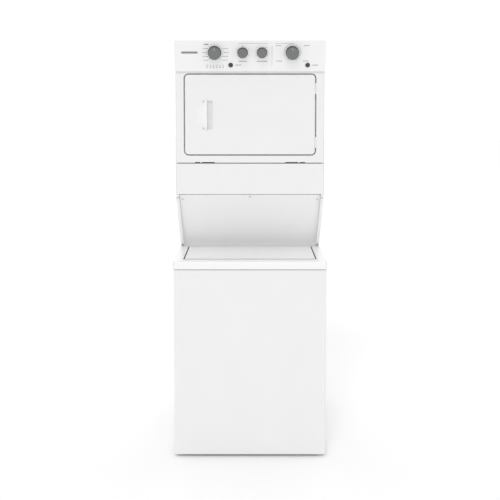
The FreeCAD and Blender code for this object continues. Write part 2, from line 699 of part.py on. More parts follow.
# ---------------------------------------------------------------- dryer door
def door_panel():
    """Outer door skin with the pocket for the fingers."""
    z = (DOOR_LOW, DOOR_HIGH)
    s = (DRYER_FRONT, DRYER_FRONT + DOOR_SKIN_DEPTH)
    skin = rounded_box(span(DOOR_HALF), s, z, DOOR_CORNER, V(0, 1, 0))
    rim = [edge for edge in skin.Edges if edge.BoundBox.YMax < FRONT + DRYER_FRONT + 0.01]
    skin = skin.makeFillet(2.0, rim)
    inside = rounded_box(span(DOOR_HALF - SHEET), (s[0] + SHEET, s[1] + 1.0), grown(z, -SHEET),
                         DOOR_CORNER - SHEET, V(0, 1, 0))
    pocket_x = (GRIP_RIGHT - 20.0, POCKET_RIGHT)
    pocket_z = (GRIP_LOW + 8.0, GRIP_HIGH - 8.0)
    tray = box(grown(pocket_x, SHEET), (DRYER_FRONT + 0.5, s[1] - 0.2), grown(pocket_z, SHEET))
    pocket = box(pocket_x, (DRYER_FRONT - 1.0, DRYER_FRONT + POCKET_DEPTH), pocket_z)
    return cut(fused([skin.cut(inside), tray]), [pocket])


def door_liner():
    """Inner door skin whose middle stands into the opening."""
    plate = rounded_box(span(DOOR_HALF - 12.0), (DRYER_FRONT + DOOR_SKIN_DEPTH, 153.0),
                        (DOOR_LOW + 12.0, DOOR_HIGH - 12.0), DOOR_CORNER, V(0, 1, 0))
    bulge = opening((151.0, 167.0), -9.0)
    hollow = opening((149.0, 165.0), -11.0)
    return cut(fused([plate, bulge]), [hollow])


def door_seal():
    """Soft ring on the liner that meets the seat round the opening."""
    return opening((153.0, 159.7), 18.0).cut(opening((152.0, 161.0), 6.0))


def door_handle():
    """Raised grip with a curved outer side and a straight lip over the pocket."""
    middle = (GRIP_LOW + GRIP_HIGH) / 2.0
    low = V(GRIP_RIGHT, FRONT + DRYER_FRONT, GRIP_LOW)
    high = V(GRIP_RIGHT, FRONT + DRYER_FRONT, GRIP_HIGH)
    bow = Part.Arc(low, V(GRIP_LEFT, FRONT + DRYER_FRONT, middle), high).toShape()
    straight = Part.LineSegment(high, low).toShape()
    grip = Part.Face(Part.Wire([bow, straight])).extrude(V(0, -GRIP_PROUD, 0))
    slope = Part.makePolygon([V(GRIP_LEFT - 1.0, FRONT + DRYER_FRONT - 2.0, 0),
                              V(GRIP_RIGHT + 1.0, FRONT + DRYER_FRONT - GRIP_PROUD, 0),
                              V(GRIP_RIGHT + 1.0, FRONT + DRYER_FRONT - GRIP_PROUD - 30.0, 0),
                              V(GRIP_LEFT - 1.0, FRONT + DRYER_FRONT - GRIP_PROUD - 30.0, 0),
                              V(GRIP_LEFT - 1.0, FRONT + DRYER_FRONT - 2.0, 0)])
    wedge = Part.Face(slope).extrude(V(0, 0, OVERALL_HEIGHT))
    finger = box((GRIP_RIGHT - 11.0, GRIP_RIGHT + 1.0), (DRYER_FRONT - GRIP_PROUD + 5.0, DRYER_FRONT + 1.0),
                 (GRIP_LOW + 12.0, GRIP_HIGH - 12.0))
    return cut(grip, [wedge, finger])


def door_hinge_leaves():
    """Fixed hinge halves: a leaf on the seat's side wall, two barrels and the pin."""
    leaves = []
    for level in HINGE_LEVELS:
        low = level - HINGE_LENGTH / 2.0
        third = HINGE_LENGTH / 3.0
        leaf = box((DOOR_AXIS_X + 1.0, DOOR_HALF + DOOR_GAP), (DOOR_AXIS_S, DRYER_FRONT + 18.0),
                   (low, low + HINGE_LENGTH))
        ends = [post(DOOR_AXIS_X, DOOR_AXIS_S, (low + k * third, low + (k + 1) * third), HINGE_BARREL)
                for k in (0, 2)]
        pin = post(DOOR_AXIS_X, DOOR_AXIS_S, (low, low + HINGE_LENGTH), 1.2)
        gap = post(DOOR_AXIS_X, DOOR_AXIS_S, (low + third, low + 2 * third), HINGE_BARREL + 0.3)
        leaves.append(fused([leaf.cut(gap)] + ends + [pin]))
    return group(leaves)


def door_hinge_knuckles():
    """Moving hinge halves: the middle barrel and its tab on the door's edge."""
    knuckles = []
    for level in HINGE_LEVELS:
        half = HINGE_LENGTH / 6.0 - 0.3
        tab = box((DOOR_HALF, DOOR_AXIS_X - 1.3), (DOOR_AXIS_S, DRYER_FRONT + 8.0), (level - half, level + half))
        middle = post(DOOR_AXIS_X, DOOR_AXIS_S, (level - half, level + half), HINGE_BARREL)
        bore = post(DOOR_AXIS_X, DOOR_AXIS_S, (level - 20.0, level + 20.0), 1.2 + PIN_CLEARANCE)
        knuckles.append(cut(fused([tab, middle]), [bore]))
    return group(knuckles)


# ---------------------------------------------------------------- dryer drum and air path
def front_bulkhead():
    """Front wall of the drum space with the tunnel to the door opening."""
    plate = box(span(DRYER_HALF - 16.0), (BULKHEAD_FRONT, BULKHEAD_FRONT + 1.5), (1250.0, 1850.0))
    tunnel = opening((DRYER_FRONT + PANEL_DEPTH + 1.7, BULKHEAD_FRONT + 1.0), 3.0)
    lip = barrel(0.0, DRUM_Z, (BULKHEAD_FRONT + 1.0, DRUM_FRONT + 16.0), DRUM_RADIUS - 6.0)
    lip = lip.cut(barrel(0.0, DRUM_Z, (BULKHEAD_FRONT, DRUM_FRONT + 20.0), DRUM_RADIUS - 8.0))
    hole = opening((150.0, 230.0))
    screen_slot = box((DUCT_LEFT - 3.0, DUCT_RIGHT + 83.0), (168.0, 191.0), (1395.0, 1420.0))
    return cut(fused([plate, tunnel, lip]), [hole, screen_slot])


def rear_bulkhead():
    """Back wall of the drum space with the roller pins and, below it, the idler's pin."""
    plate = box(span(DRYER_HALF - 16.0), (BULKHEAD_BACK, BULKHEAD_BACK + 2.0), (1195.0, 1860.0))
    pins = [barrel(x, z, (BULKHEAD_BACK - 25.0, BULKHEAD_BACK + 1.0), ROLLER_PIN) for x, z in roller_places()]
    pins.append(barrel(IDLER_X, IDLER_Z, (DRUM_BELT_S - 11.0, BULKHEAD_BACK + 1.0), IDLER_PIN))
    tab = box((IDLER_X - 15.0, IDLER_X + 15.0), (BULKHEAD_BACK, BULKHEAD_BACK + 2.0), (IDLER_Z - 15.0, 1196.0))
    port = box(HEATER_PORT_X, (760.0, 775.0), (1600.0, 1700.0))
    return cut(fused([plate, tab] + pins), [port])


def roller_places():
    """Where the two drum rollers turn, as (x, z)."""
    reach = DRUM_RADIUS + BELT_GAP + ROLLER_RADIUS
    angle = math.radians(ROLLER_ANGLE)
    return [(side * reach * math.sin(angle), DRUM_Z - reach * math.cos(angle)) for side in (-1, 1)]


def drum_roller(place):
    """Rubber-tyred roller on its pin."""
    x, z = place
    wheel = barrel(x, z, (BULKHEAD_BACK - 21.0, BULKHEAD_BACK - 3.0), ROLLER_RADIUS)
    return wheel.cut(barrel(x, z, (BULKHEAD_BACK - 30.0, BULKHEAD_BACK), ROLLER_PIN + PIN_CLEARANCE))


def left_roller():
    """Roller under the drum's left."""
    return drum_roller(roller_places()[0])


def right_roller():
    """Roller under the drum's right."""
    return drum_roller(roller_places()[1])


def drum():
    """Open-ended drum shell with a rolled rim at each end."""
    shell = barrel(0.0, DRUM_Z, (DRUM_FRONT, DRUM_BACK), DRUM_RADIUS)
    return shell.cut(barrel(0.0, DRUM_Z, (DRUM_FRONT - 1.0, DRUM_BACK + 1.0), DRUM_RADIUS - DRUM_WALL))


def drum_baffles():
    """Three tapered baffles inside the drum."""
    baffles = []
    inner = DRUM_RADIUS - DRUM_WALL
    foot = inner - 7.0
    for k in range(3):
        points = [V(-44.0, FRONT + 250.0, DRUM_Z - foot), V(-10.0, FRONT + 250.0, DRUM_Z - inner + BAFFLE_HEIGHT),
                  V(10.0, FRONT + 250.0, DRUM_Z - inner + BAFFLE_HEIGHT), V(44.0, FRONT + 250.0, DRUM_Z - foot)]
        points.append(points[0])
        ridge = Part.Face(Part.makePolygon(points)).extrude(V(0, 470.0, 0))
        seat = box((-44.0, 44.0), (250.0, 720.0), (DRUM_Z - inner - 2.0, DRUM_Z - foot + 0.1))
        seat = seat.common(barrel(0.0, DRUM_Z, (240.0, 730.0), inner))
        fin = fused([ridge, seat])
        fin.rotate(V(0, 0, DRUM_Z), V(0, 1, 0), 60.0 + 120.0 * k)
        baffles.append(fin)
    return group(baffles)


def drum_belt():
    """Long belt round the drum, the motor's pulley and the idler."""
    circles = [(0.0, DRUM_Z, DRUM_RADIUS), (BLOWER_X, BLOWER_Z, DRYER_PULLEY_RADIUS),
               (IDLER_X, IDLER_Z, IDLER_RADIUS)]

    def place(u, v):
        return V(u, FRONT + DRUM_BELT_S - 4.5, v)

    return belt(circles, place, V(0, 9.0, 0))


def dryer_motor():
    """Motor behind the blower, with its two mounting feet."""
    can = barrel(BLOWER_X, BLOWER_Z, (592.0, 706.0), 64.0)
    feet = box((BLOWER_X - 60.0, BLOWER_X + 60.0), (610.0, 690.0), (1000.0, 1040.0))
    bore = barrel(BLOWER_X, BLOWER_Z, (580.0, 720.0), 6.0 + PIN_CLEARANCE)
    return cut(fused([can, feet]), [bore])


def motor_shaft():
    """Shaft through the dryer's motor with the belt pulley on its end."""
    shaft = barrel(BLOWER_X, BLOWER_Z, (530.0, 744.0), 6.0)
    pulley = barrel(BLOWER_X, BLOWER_Z, (DRUM_BELT_S - 9.0, DRUM_BELT_S + 9.0), DRYER_PULLEY_RADIUS)
    return fused([shaft, pulley])


def blower_wheel():
    """Squirrel-cage wheel with a ring of blades between a disc and a hoop."""
    disc = barrel(BLOWER_X, BLOWER_Z, (560.0, 563.0), 80.0)
    hub = barrel(BLOWER_X, BLOWER_Z, (535.0, 563.0), 16.0)
    hoop = barrel(BLOWER_X, BLOWER_Z, (515.0, 519.0), 80.0).cut(barrel(BLOWER_X, BLOWER_Z, (510.0, 520.0), 64.0))
    blades = []
    for k in range(18):
        blade = box((BLOWER_X + 66.0, BLOWER_X + 78.0), (517.0, 561.5), (BLOWER_Z - 1.0, BLOWER_Z + 1.0))
        blade.rotate(V(BLOWER_X, 0, BLOWER_Z), V(0, 1, 0), 20.0 * k)
        blades.append(blade)
    wheel = fused([disc, hub, hoop] + blades)
    return wheel.cut(barrel(BLOWER_X, BLOWER_Z, (500.0, 600.0), 6.0))


def blower_housing():
    """Round fan casing with its mouth in front and its outlet towards the middle."""
    case = barrel(BLOWER_X, BLOWER_Z, (BLOWER_S, 588.0), 98.0)
    case = fused([case, box((BLOWER_X, EXHAUST_X - EXHAUST_RADIUS - 1.0), (BLOWER_S, 588.0),
                            (BLOWER_Z - 98.0, BLOWER_Z - 48.0))])
    inside = barrel(BLOWER_X, BLOWER_Z, (BLOWER_S + 2.0, 586.0), 96.0)
    outlet = box((BLOWER_X, EXHAUST_X), (BLOWER_S + 2.0, 586.0), (BLOWER_Z - 96.0, BLOWER_Z - 50.0))
    mouth = barrel(BLOWER_X, BLOWER_Z, (500.0, BLOWER_S + 3.0), 50.0)
    bore = barrel(BLOWER_X, BLOWER_Z, (580.0, 600.0), 9.0)
    return cut(case, [inside, outlet, mouth, bore])


def lint_duct():
    """Air duct from under the lint screen, below the drum, to the fan's mouth."""
    wall = 1.5
    throat = box((DUCT_LEFT, DUCT_RIGHT + 80.0), (169.0, 190.0), (1197.0, 1402.0))
    under = box((DUCT_LEFT, DUCT_RIGHT), (169.0, 500.0), (1197.0, 1240.0))
    fall = box((DUCT_LEFT, DUCT_RIGHT), (456.0, 502.5), (1036.0, 1240.0))
    inner = [box((DUCT_LEFT + wall, DUCT_RIGHT + 80.0 - wall), (169.0 + wall, 190.0 - wall), (1197.0 + wall, 1410.0)),
             box((DUCT_LEFT + wall, DUCT_RIGHT - wall), (169.0 + wall, 500.0), (1197.0 + wall, 1240.0 - wall)),
             box((DUCT_LEFT + wall, DUCT_RIGHT - wall), (456.0 + wall, 501.0), (1036.0 + wall, 1240.0 - wall)),
             barrel(BLOWER_X, BLOWER_Z, (490.0, 510.0), 50.0)]
    return cut(fused([throat, under, fall]), inner)


def lint_screen():
    """Screen frame with a finger grip on top, standing in the duct."""
    x = (DUCT_LEFT + 6.0, DUCT_RIGHT + 74.0)
    frame = box(x, (174.0, 185.0), (1222.0, 1404.0))
    windows = []
    width = (x[1] - x[0] - 16.0) / 4.0
    for k in range(4):
        left = x[0] + 5.0 + k * (width + 2.0)
        windows.append(box((left, left + width), (176.0, 190.0), (1230.0, 1390.0)))
    grip = box((x[0] + 35.0, x[1] - 35.0), (176.0, 183.0), (1403.0, 1414.0))
    return cut(fused([frame, grip]), windows)


def exhaust_duct():
    """Round pipe out of the back, fed from the side by the fan casing."""
    tube = barrel(EXHAUST_X, EXHAUST_Z, (500.0, STUB_START), EXHAUST_RADIUS - NECKING)
    collar = barrel(EXHAUST_X, EXHAUST_Z, (STUB_START, OVERALL_DEPTH), EXHAUST_RADIUS)
    bore = barrel(EXHAUST_X, EXHAUST_Z, (502.0, OVERALL_DEPTH + 1.0), EXHAUST_RADIUS - NECKING - 1.0)
    port = box((EXHAUST_X - 60.0, EXHAUST_X), (505.0, 586.0), (BLOWER_Z - 96.0, BLOWER_Z - 50.0))
    return cut(fused([tube, collar]), [bore, port])


def idler_pulley():
    """Idler that keeps the drum belt tight."""
    wheel = barrel(IDLER_X, IDLER_Z, (DRUM_BELT_S - 8.0, DRUM_BELT_S + 8.0), IDLER_RADIUS)
    return wheel.cut(barrel(IDLER_X, IDLER_Z, (DRUM_BELT_S - 20.0, DRUM_BELT_S + 20.0), IDLER_PIN + PIN_CLEARANCE))


def heater_box():
    """Flat heater casing behind the back wall."""
    case = box((60.0, 280.0), (BULKHEAD_BACK + 2.3, 784.0), (1290.0, 1720.0))
    port = box(HEATER_PORT_X, (765.0, 775.0), (1605.0, 1695.0))
    return case.cut(port)


# ---------------------------------------------------------------- console
def face_depth(z):
    """Depth s of the console's leaning face at a level."""
    share = (z - CONSOLE_BOTTOM) / (CONSOLE_BROW_Z - CONSOLE_BOTTOM)
    return CONSOLE_FOOT_S + (CONSOLE_BROW_S - CONSOLE_FOOT_S) * share


def on_face(shape, x, z):
    """Place a shape made round +Z so that its axis stands out of the console's face."""
    lean = math.atan2(CONSOLE_FOOT_S - CONSOLE_BROW_S, CONSOLE_BROW_Z - CONSOLE_BOTTOM)
    up = V(0, -math.sin(lean), math.cos(lean))
    out = V(0, -math.cos(lean), -math.sin(lean))
    turn = FreeCAD.Rotation(V(1, 0, 0), up, out, "ZYX")
    placed = shape.copy()
    placed.Placement = FreeCAD.Placement(V(x, FRONT + face_depth(z), z), turn)
    return placed


def console_panel():
    """Hollow control housing with holes for spindles, buttons and lights."""
    outline = [(CONSOLE_FOOT_S, CONSOLE_BOTTOM), (CONSOLE_BROW_S, CONSOLE_BROW_Z),
               (CONSOLE_BROW_S + 4.0, OVERALL_HEIGHT), (160.0, OVERALL_HEIGHT), (160.0, CONSOLE_BOTTOM)]
    wall = CONSOLE_WALL
    inner = [(CONSOLE_FOOT_S + wall + 0.6, CONSOLE_BOTTOM + wall), (CONSOLE_BROW_S + wall + 1.2, CONSOLE_BROW_Z - 1.0),
             (CONSOLE_BROW_S + 6.0, OVERALL_HEIGHT - wall), (162.0, OVERALL_HEIGHT - wall),
             (162.0, CONSOLE_BOTTOM + wall)]
    shell = side_prism(outline, span(CONSOLE_HALF)).cut(side_prism(inner, span(CONSOLE_HALF - wall)))
    holes = [on_face(Part.makeCylinder(6.0, 20.0, V(0, 0, -10.0)), x, KNOB_LEVEL)
             for x in (WASHER_TIMER_X, DRYER_TIMER_X, TEMPERATURE_X, LOAD_X)]
    holes += [on_face(Part.makeCylinder(BUTTON_HOLE, 20.0, V(0, 0, -10.0)), x, BUTTON_LEVEL)
              for x in (SIGNAL_BUTTON_X, START_BUTTON_X)]
    slot = LIGHT_HALF + 0.3
    holes += [on_face(Part.makeBox(2 * slot, 2 * slot, 20.0, V(-slot, -slot, -10.0)), x, LIGHT_LEVEL)
              for x in LIGHT_XS]
    return cut(shell, holes)


def knob(x, radius, height):
    """Round knob with a grip skirt, a pointer rib and its spindle."""
    profile = [(0.0, 1.0), (radius, 1.0), (radius, 3.5), (radius - 1.0, 5.0), (radius - 2.0, height - 3.0),
               (radius - 4.0, height), (0.0, height)]
    points = [V(r, 0, z) for r, z in profile]
    points.append(points[0])
    body = Part.Face(Part.makePolygon(points)).revolve(V(0, 0, 0), V(0, 0, 1), 360)
    rib = Part.makeBox(2.0, radius * 0.36, 1.0, V(-1.0, radius * 0.44, height - 0.5))
    spindle = Part.makeCylinder(3.0, 26.0, V(0, 0, -24.0))
    return on_face(fused([body, rib, spindle]), x, KNOB_LEVEL)


def push_button(x):
    """Round button with its stem."""
    cap = Part.makeCylinder(BUTTON_RADIUS, 7.0, V(0, 0, -2.5))
    cap = cap.makeFillet(1.2, [edge for edge in cap.Edges if edge.BoundBox.ZMin > 4.0])
    stem = Part.makeCylinder(3.0, 12.0, V(0, 0, -14.0))
    return on_face(fused([cap, stem]), x, BUTTON_LEVEL)


def status_lights():
    """Six small lenses in the console's face."""
    lens = Part.makeBox(2 * LIGHT_HALF, 2 * LIGHT_HALF, 2.8, V(-LIGHT_HALF, -LIGHT_HALF, -2.5))
    return group([on_face(lens, x, LIGHT_LEVEL) for x in LIGHT_XS])


def washer_timer_knob():
    """Cycle knob of the washer."""
    return knob(WASHER_TIMER_X, TIMER_KNOB_RADIUS, TIMER_KNOB_HEIGHT)


def dryer_timer_knob():
    """Cycle knob of the dryer."""
    return knob(DRYER_TIMER_X, TIMER_KNOB_RADIUS, TIMER_KNOB_HEIGHT)


def temperature_knob():
    """Selector for the water temperature."""
    return knob(TEMPERATURE_X, SELECTOR_RADIUS, SELECTOR_HEIGHT)


def load_knob():
    """Selector for the load size."""
    return knob(LOAD_X, SELECTOR_RADIUS, SELECTOR_HEIGHT)


def signal_button():
    """Left push button."""
    return push_button(SIGNAL_BUTTON_X)


def start_button():
    """Right push button."""
    return push_button(START_BUTTON_X)


# ---------------------------------------------------------------- every node of the machine
NODES = (
    washer_front_panel, washer_cabinet, washer_base, levelling_feet, washer_top, washer_lid,
    outer_tub, suspension_rods, tub_ring, basket, balance_ring, agitator, gearcase, drive_pulley,
    washer_motor, motor_pulley, washer_belt, drain_pump, inlet_valve,
    left_bracket, right_bracket, recess_panel, panel_screws,
    dryer_left_side, dryer_right_side, dryer_top, dryer_rear_panel, dryer_front_panel, access_panel,
    dryer_base, door_panel, door_liner, door_seal, door_handle, door_hinge_leaves, door_hinge_knuckles,
    front_bulkhead, rear_bulkhead, left_roller, right_roller, drum, drum_baffles, drum_belt,
    dryer_motor, motor_shaft, blower_wheel, blower_housing, lint_duct, lint_screen, exhaust_duct,
    idler_pulley, heater_box,
    console_panel, washer_timer_knob, dryer_timer_knob, temperature_knob, load_knob, signal_button,
    start_button, status_lights,
)


def main():
    """Write one file per node."""
    os.makedirs("parts", exist_ok=True)
    for make in NODES:
        shape = make()
        if not shape.isValid():
            print("not valid:", make.__name__)
        print(make.__name__, len(shape.Solids), round(shape.Volume))
        shape.exportStep("parts/" + make.__name__ + ".step")


main()
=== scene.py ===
"""Finished look of a stacked washer and dryer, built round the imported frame."""
import logging
import math
from dataclasses import dataclass, field
from enum import Enum
from typing import Sequence

import bmesh
import bpy
from mathutils import Matrix, Vector


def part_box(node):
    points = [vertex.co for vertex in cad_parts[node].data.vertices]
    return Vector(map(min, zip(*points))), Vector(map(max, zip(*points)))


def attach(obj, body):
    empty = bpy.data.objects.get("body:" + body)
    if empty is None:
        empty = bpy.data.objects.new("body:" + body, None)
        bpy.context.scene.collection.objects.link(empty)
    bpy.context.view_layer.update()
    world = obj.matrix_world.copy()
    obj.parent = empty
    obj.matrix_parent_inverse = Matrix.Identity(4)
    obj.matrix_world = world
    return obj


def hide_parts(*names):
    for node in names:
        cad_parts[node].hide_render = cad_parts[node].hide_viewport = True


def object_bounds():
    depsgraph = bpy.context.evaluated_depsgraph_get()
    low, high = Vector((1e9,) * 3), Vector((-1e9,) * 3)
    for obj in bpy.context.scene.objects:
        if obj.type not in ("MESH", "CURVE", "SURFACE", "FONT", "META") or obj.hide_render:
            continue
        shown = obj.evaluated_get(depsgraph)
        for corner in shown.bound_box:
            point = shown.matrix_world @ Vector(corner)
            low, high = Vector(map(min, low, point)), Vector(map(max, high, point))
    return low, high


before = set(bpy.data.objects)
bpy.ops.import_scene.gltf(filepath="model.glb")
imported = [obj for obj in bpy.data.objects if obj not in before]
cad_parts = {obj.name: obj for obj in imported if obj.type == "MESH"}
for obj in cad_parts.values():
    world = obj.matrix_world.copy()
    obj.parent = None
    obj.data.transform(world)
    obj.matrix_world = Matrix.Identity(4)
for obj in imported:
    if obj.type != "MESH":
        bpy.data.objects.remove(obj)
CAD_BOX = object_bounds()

logging.basicConfig(level=logging.INFO, format="%(message)s")
LOG = logging.getLogger("laundry_stack")

MM = 0.001
Point = tuple[float, float, float]
Colour = tuple[float, float, float]


class Grain(Enum):
    """How the fine texture of a finish runs."""

    PEEL = "soft even orange peel of baked enamel"
    SPARK = "fine spark texture of moulded plastic"
    BRUSHED_X = "fine lines that run left to right"
    BRUSHED_Z = "fine lines that run up and down"
    SPANGLE = "patchy crystals of zinc coating"


# ---------------------------------------------------------------- finishes
@dataclass(frozen=True)
class Finish:
    """A procedural finish: slight colour drift, uneven gloss, a fine relief and, where asked, a painted
    highlight on the sharp edges.

    Lengths are in metres. The drift and the gloss patches follow a broad noise, the
    relief follows a fine one whose direction comes from the grain.
    """

    name: str
    colour: Colour
    roughness: float
    metallic: float = 0.0
    grain: Grain = Grain.SPARK
    grain_size: float = 0.0012
    relief: float = 0.00003
    drift: float = 0.02
    gloss_spread: float = 0.06
    coat: float = 0.0
    edge_highlight: float = 0.0

    def _scales(self) -> Point:
        """Stretch of the fine noise along each axis."""
        if self.grain is Grain.BRUSHED_X:
            return (0.02, 1.0, 1.0)
        if self.grain is Grain.BRUSHED_Z:
            return (1.0, 1.0, 0.02)
        return (1.0, 1.0, 1.0)

    def build(self) -> bpy.types.Material:
        """Make the material.

        Returns:
            A node material ready for an object's slot.
        """
        material = bpy.data.materials.new(self.name)
        material.use_nodes = True
        tree = material.node_tree
        tree.nodes.clear()
        out = tree.nodes.new("ShaderNodeOutputMaterial")
        shader = tree.nodes.new("ShaderNodeBsdfPrincipled")
        tree.links.new(shader.outputs["BSDF"], out.inputs["Surface"])
        shader.inputs["Metallic"].default_value = self.metallic
        shader.inputs["Coat Weight"].default_value = self.coat
        shader.inputs["Coat Roughness"].default_value = 0.12
        place = tree.nodes.new("ShaderNodeTexCoord")
        broad = self._noise(tree, place, 7.0, 3.0, (1.0, 1.0, 1.0))
        fine = self._noise(tree, place, 1.0 / self.grain_size, 2.0, self._scales())
        tint = tree.nodes.new("ShaderNodeValToRGB")
        low = tuple(max(0.0, c * (1.0 - self.drift)) for c in self.colour)
        high = tuple(min(1.0, c * (1.0 + self.drift * 0.5)) for c in self.colour)
        tint.color_ramp.elements[0].position = 0.3
        tint.color_ramp.elements[1].position = 0.7
        tint.color_ramp.elements[0].color = (*low, 1.0)
        tint.color_ramp.elements[1].color = (*high, 1.0)
        source = fine if self.grain is Grain.SPANGLE else broad
        tree.links.new(source.outputs["Fac"], tint.inputs["Fac"])
        colour = tint.outputs["Color"]
        # painted highlight: lighter sharp edges stand in for light catching the rims
        if self.edge_highlight > 0.0:
            colour = self._paint_highlight_on_edges(tree, colour)
        tree.links.new(colour, shader.inputs["Base Color"])
        gloss = tree.nodes.new("ShaderNodeMapRange")
        gloss.inputs["To Min"].default_value = max(0.03, self.roughness - self.gloss_spread)
        gloss.inputs["To Max"].default_value = min(1.0, self.roughness + self.gloss_spread)
        tree.links.new(fine.outputs["Fac"], gloss.inputs["Value"])
        tree.links.new(gloss.outputs["Result"], shader.inputs["Roughness"])
        bump = tree.nodes.new("ShaderNodeBump")
        bump.inputs["Strength"].default_value = 0.5
        bump.inputs["Distance"].default_value = self.relief
        tree.links.new(fine.outputs["Fac"], bump.inputs["Height"])
        tree.links.new(bump.outputs["Normal"], shader.inputs["Normal"])
        material.diffuse_color = (*self.colour, 1.0)
        return material

    def _noise(self, tree: bpy.types.NodeTree, place: bpy.types.Node, scale: float, detail: float,
               stretch: Point) -> bpy.types.Node:
        """Add a noise in the object's own space.

        Args:
            tree: Node tree to add to.
            place: Texture coordinate node.
            scale: Noise scale per metre.
            detail: Octaves.
            stretch: Factor on each axis.

        Returns:
            The noise node.
        """
        mapping = tree.nodes.new("ShaderNodeMapping")
        mapping.inputs["Scale"].default_value = stretch
        noise = tree.nodes.new("ShaderNodeTexNoise")
        noise.inputs["Scale"].default_value = scale
        noise.inputs["Detail"].default_value = detail
        tree.links.new(place.outputs["Object"], mapping.inputs["Vector"])
        tree.links.new(mapping.outputs["Vector"], noise.inputs["Vector"])
        return noise

    def _paint_highlight_on_edges(self, tree: bpy.types.NodeTree, colour: bpy.types.NodeSocket) -> bpy.types.NodeSocket:
        """Paint a highlight on the sharp edges: lighten them a little.

        Args:
            tree: Node tree to add to.
            colour: Colour to lighten.

        Returns:
            The socket with the lightened colour.
        """
        edge = tree.nodes.new("ShaderNodeNewGeometry")
        ramp = tree.nodes.new("ShaderNodeMapRange")
        ramp.inputs["From Min"].default_value = 0.52
        ramp.inputs["From Max"].default_value = 0.62
        ramp.inputs["To Max"].default_value = self.edge_highlight
        tree.links.new(edge.outputs["Pointiness"], ramp.inputs["Value"])
        mix = tree.nodes.new("ShaderNodeMix")
        mix.data_type = "RGBA"
        mix.inputs[7].default_value = (*(min(1.0, c + 0.35) for c in self.colour), 1.0)
        tree.links.new(ramp.outputs["Result"], mix.inputs[0])
        tree.links.new(colour, mix.inputs[6])
        return mix.outputs[2]


@dataclass
class Finishes:
    """Every finish of the machine, made once."""

    made: dict[str, bpy.types.Material] = field(default_factory=dict)
    recipes: tuple[Finish, ...] = (
        Finish("white_enamel", (0.855, 0.855, 0.855), 0.30, grain=Grain.PEEL, grain_size=0.004,
               relief=0.00004, drift=0.008, gloss_spread=0.03, coat=0.15),
        # whiter than the cabinet enamel: partly the real porcelain of the deck and lid, partly painted light
        # that lifts the deck, lid, brackets and recess wall out of their shade
        Finish("porcelain_shade_lifted", (0.92, 0.92, 0.92), 0.26, grain=Grain.PEEL, grain_size=0.005,
               relief=0.00004, drift=0.006, gloss_spread=0.03, coat=0.15),
        Finish("inner_enamel", (0.80, 0.80, 0.80), 0.36, grain=Grain.PEEL, grain_size=0.004,
               relief=0.00004, drift=0.01, gloss_spread=0.04),
        Finish("white_plastic", (0.895, 0.895, 0.898), 0.38, grain_size=0.0011, relief=0.00003, drift=0.008),
        Finish("grey_plastic", (0.46, 0.48, 0.50), 0.55, grain_size=0.0014, relief=0.00005),
        Finish("knob_plastic", (0.17, 0.173, 0.178), 0.30, grain_size=0.0009, relief=0.00002, drift=0.05,
               coat=0.1, edge_highlight=0.25),
        # knob side: much darker than the knob top; painted shade for the ribbed side, which sits in shadow
        Finish("knob_side_shade", (0.055, 0.056, 0.059), 0.42, grain_size=0.0009, relief=0.00002, drift=0.05),
        Finish("button_plastic", (0.045, 0.046, 0.048), 0.32, grain_size=0.0009, relief=0.00002, drift=0.05,
               edge_highlight=0.2),
        Finish("dark_plastic", (0.030, 0.030, 0.032), 0.5, grain_size=0.0012, relief=0.00004, drift=0.08),
        Finish("black_rubber", (0.022, 0.022, 0.022), 0.72, grain_size=0.0016, relief=0.00006, drift=0.12),
        Finish("seal_rubber", (0.16, 0.165, 0.17), 0.66, grain_size=0.0016, relief=0.00006, drift=0.08),
        Finish("lens_plastic", (0.62, 0.65, 0.66), 0.14, grain_size=0.003, relief=0.00001, coat=0.5),
        Finish("basket_steel", (0.68, 0.68, 0.69), 0.28, 1.0, Grain.BRUSHED_Z, 0.0009, 0.00003, 0.05, 0.09),
        Finish("bright_steel", (0.62, 0.62, 0.63), 0.27, 1.0, Grain.BRUSHED_X, 0.0007, 0.00003, 0.06, 0.08),
        Finish("zinc_coat", (0.60, 0.62, 0.63), 0.46, 0.85, Grain.SPANGLE, 0.012, 0.00002, 0.14, 0.12),
        Finish("cast_alloy", (0.50, 0.51, 0.52), 0.52, 0.9, Grain.SPARK, 0.0022, 0.00012, 0.07, 0.1),
        Finish("print_grey", (0.17, 0.173, 0.177), 0.6, grain_size=0.0008, relief=0.00001, drift=0.1),
        Finish("print_dark", (0.09, 0.092, 0.095), 0.6, grain_size=0.0008, relief=0.00001, drift=0.1),
        Finish("badge_grey", (0.27, 0.275, 0.28), 0.32, 0.6, Grain.BRUSHED_X, 0.0006, 0.00002, 0.04),
        Finish("pointer_white", (0.72, 0.73, 0.74), 0.4, grain_size=0.0008, relief=0.00001),
    )

    def get(self, name: str) -> bpy.types.Material:
        """Material of a finish by name, made at its first use."""
        if name not in self.made:
            recipe = next(r for r in self.recipes if r.name == name)
            self.made[name] = recipe.build()
        return self.made[name]

    def dress(self, piece: bpy.types.Object, name: str) -> None:
        """Give a piece one finish all over."""
        piece.data.materials.clear()
        piece.data.materials.append(self.get(name))


# ---------------------------------------------------------------- mesh help
def new_piece(name: str, points: Sequence[Vector], faces: Sequence[Sequence[int]],
              smooth: bool = True) -> bpy.types.Object:
    """Make a mesh object.

    Args:
        name: Name of the piece.
        points: Its vertices.
        faces: Vertex numbers of each face.
        smooth: Whether its faces shade smoothly up to 35 degrees.

    Returns:
        The new object, linked to the scene.
    """
    mesh = bpy.data.meshes.new(name)
    mesh.from_pydata([tuple(p) for p in points], [], [list(f) for f in faces])
    work = bmesh.new()
    work.from_mesh(mesh)
    bmesh.ops.remove_doubles(work, verts=work.verts, dist=1e-6)
    bmesh.ops.recalc_face_normals(work, faces=work.faces)
    work.to_mesh(mesh)
    work.free()
    piece = bpy.data.objects.new(name, mesh)
    bpy.context.scene.collection.objects.link(piece)
    if smooth:
        smooth_by_angle(piece)
    return piece


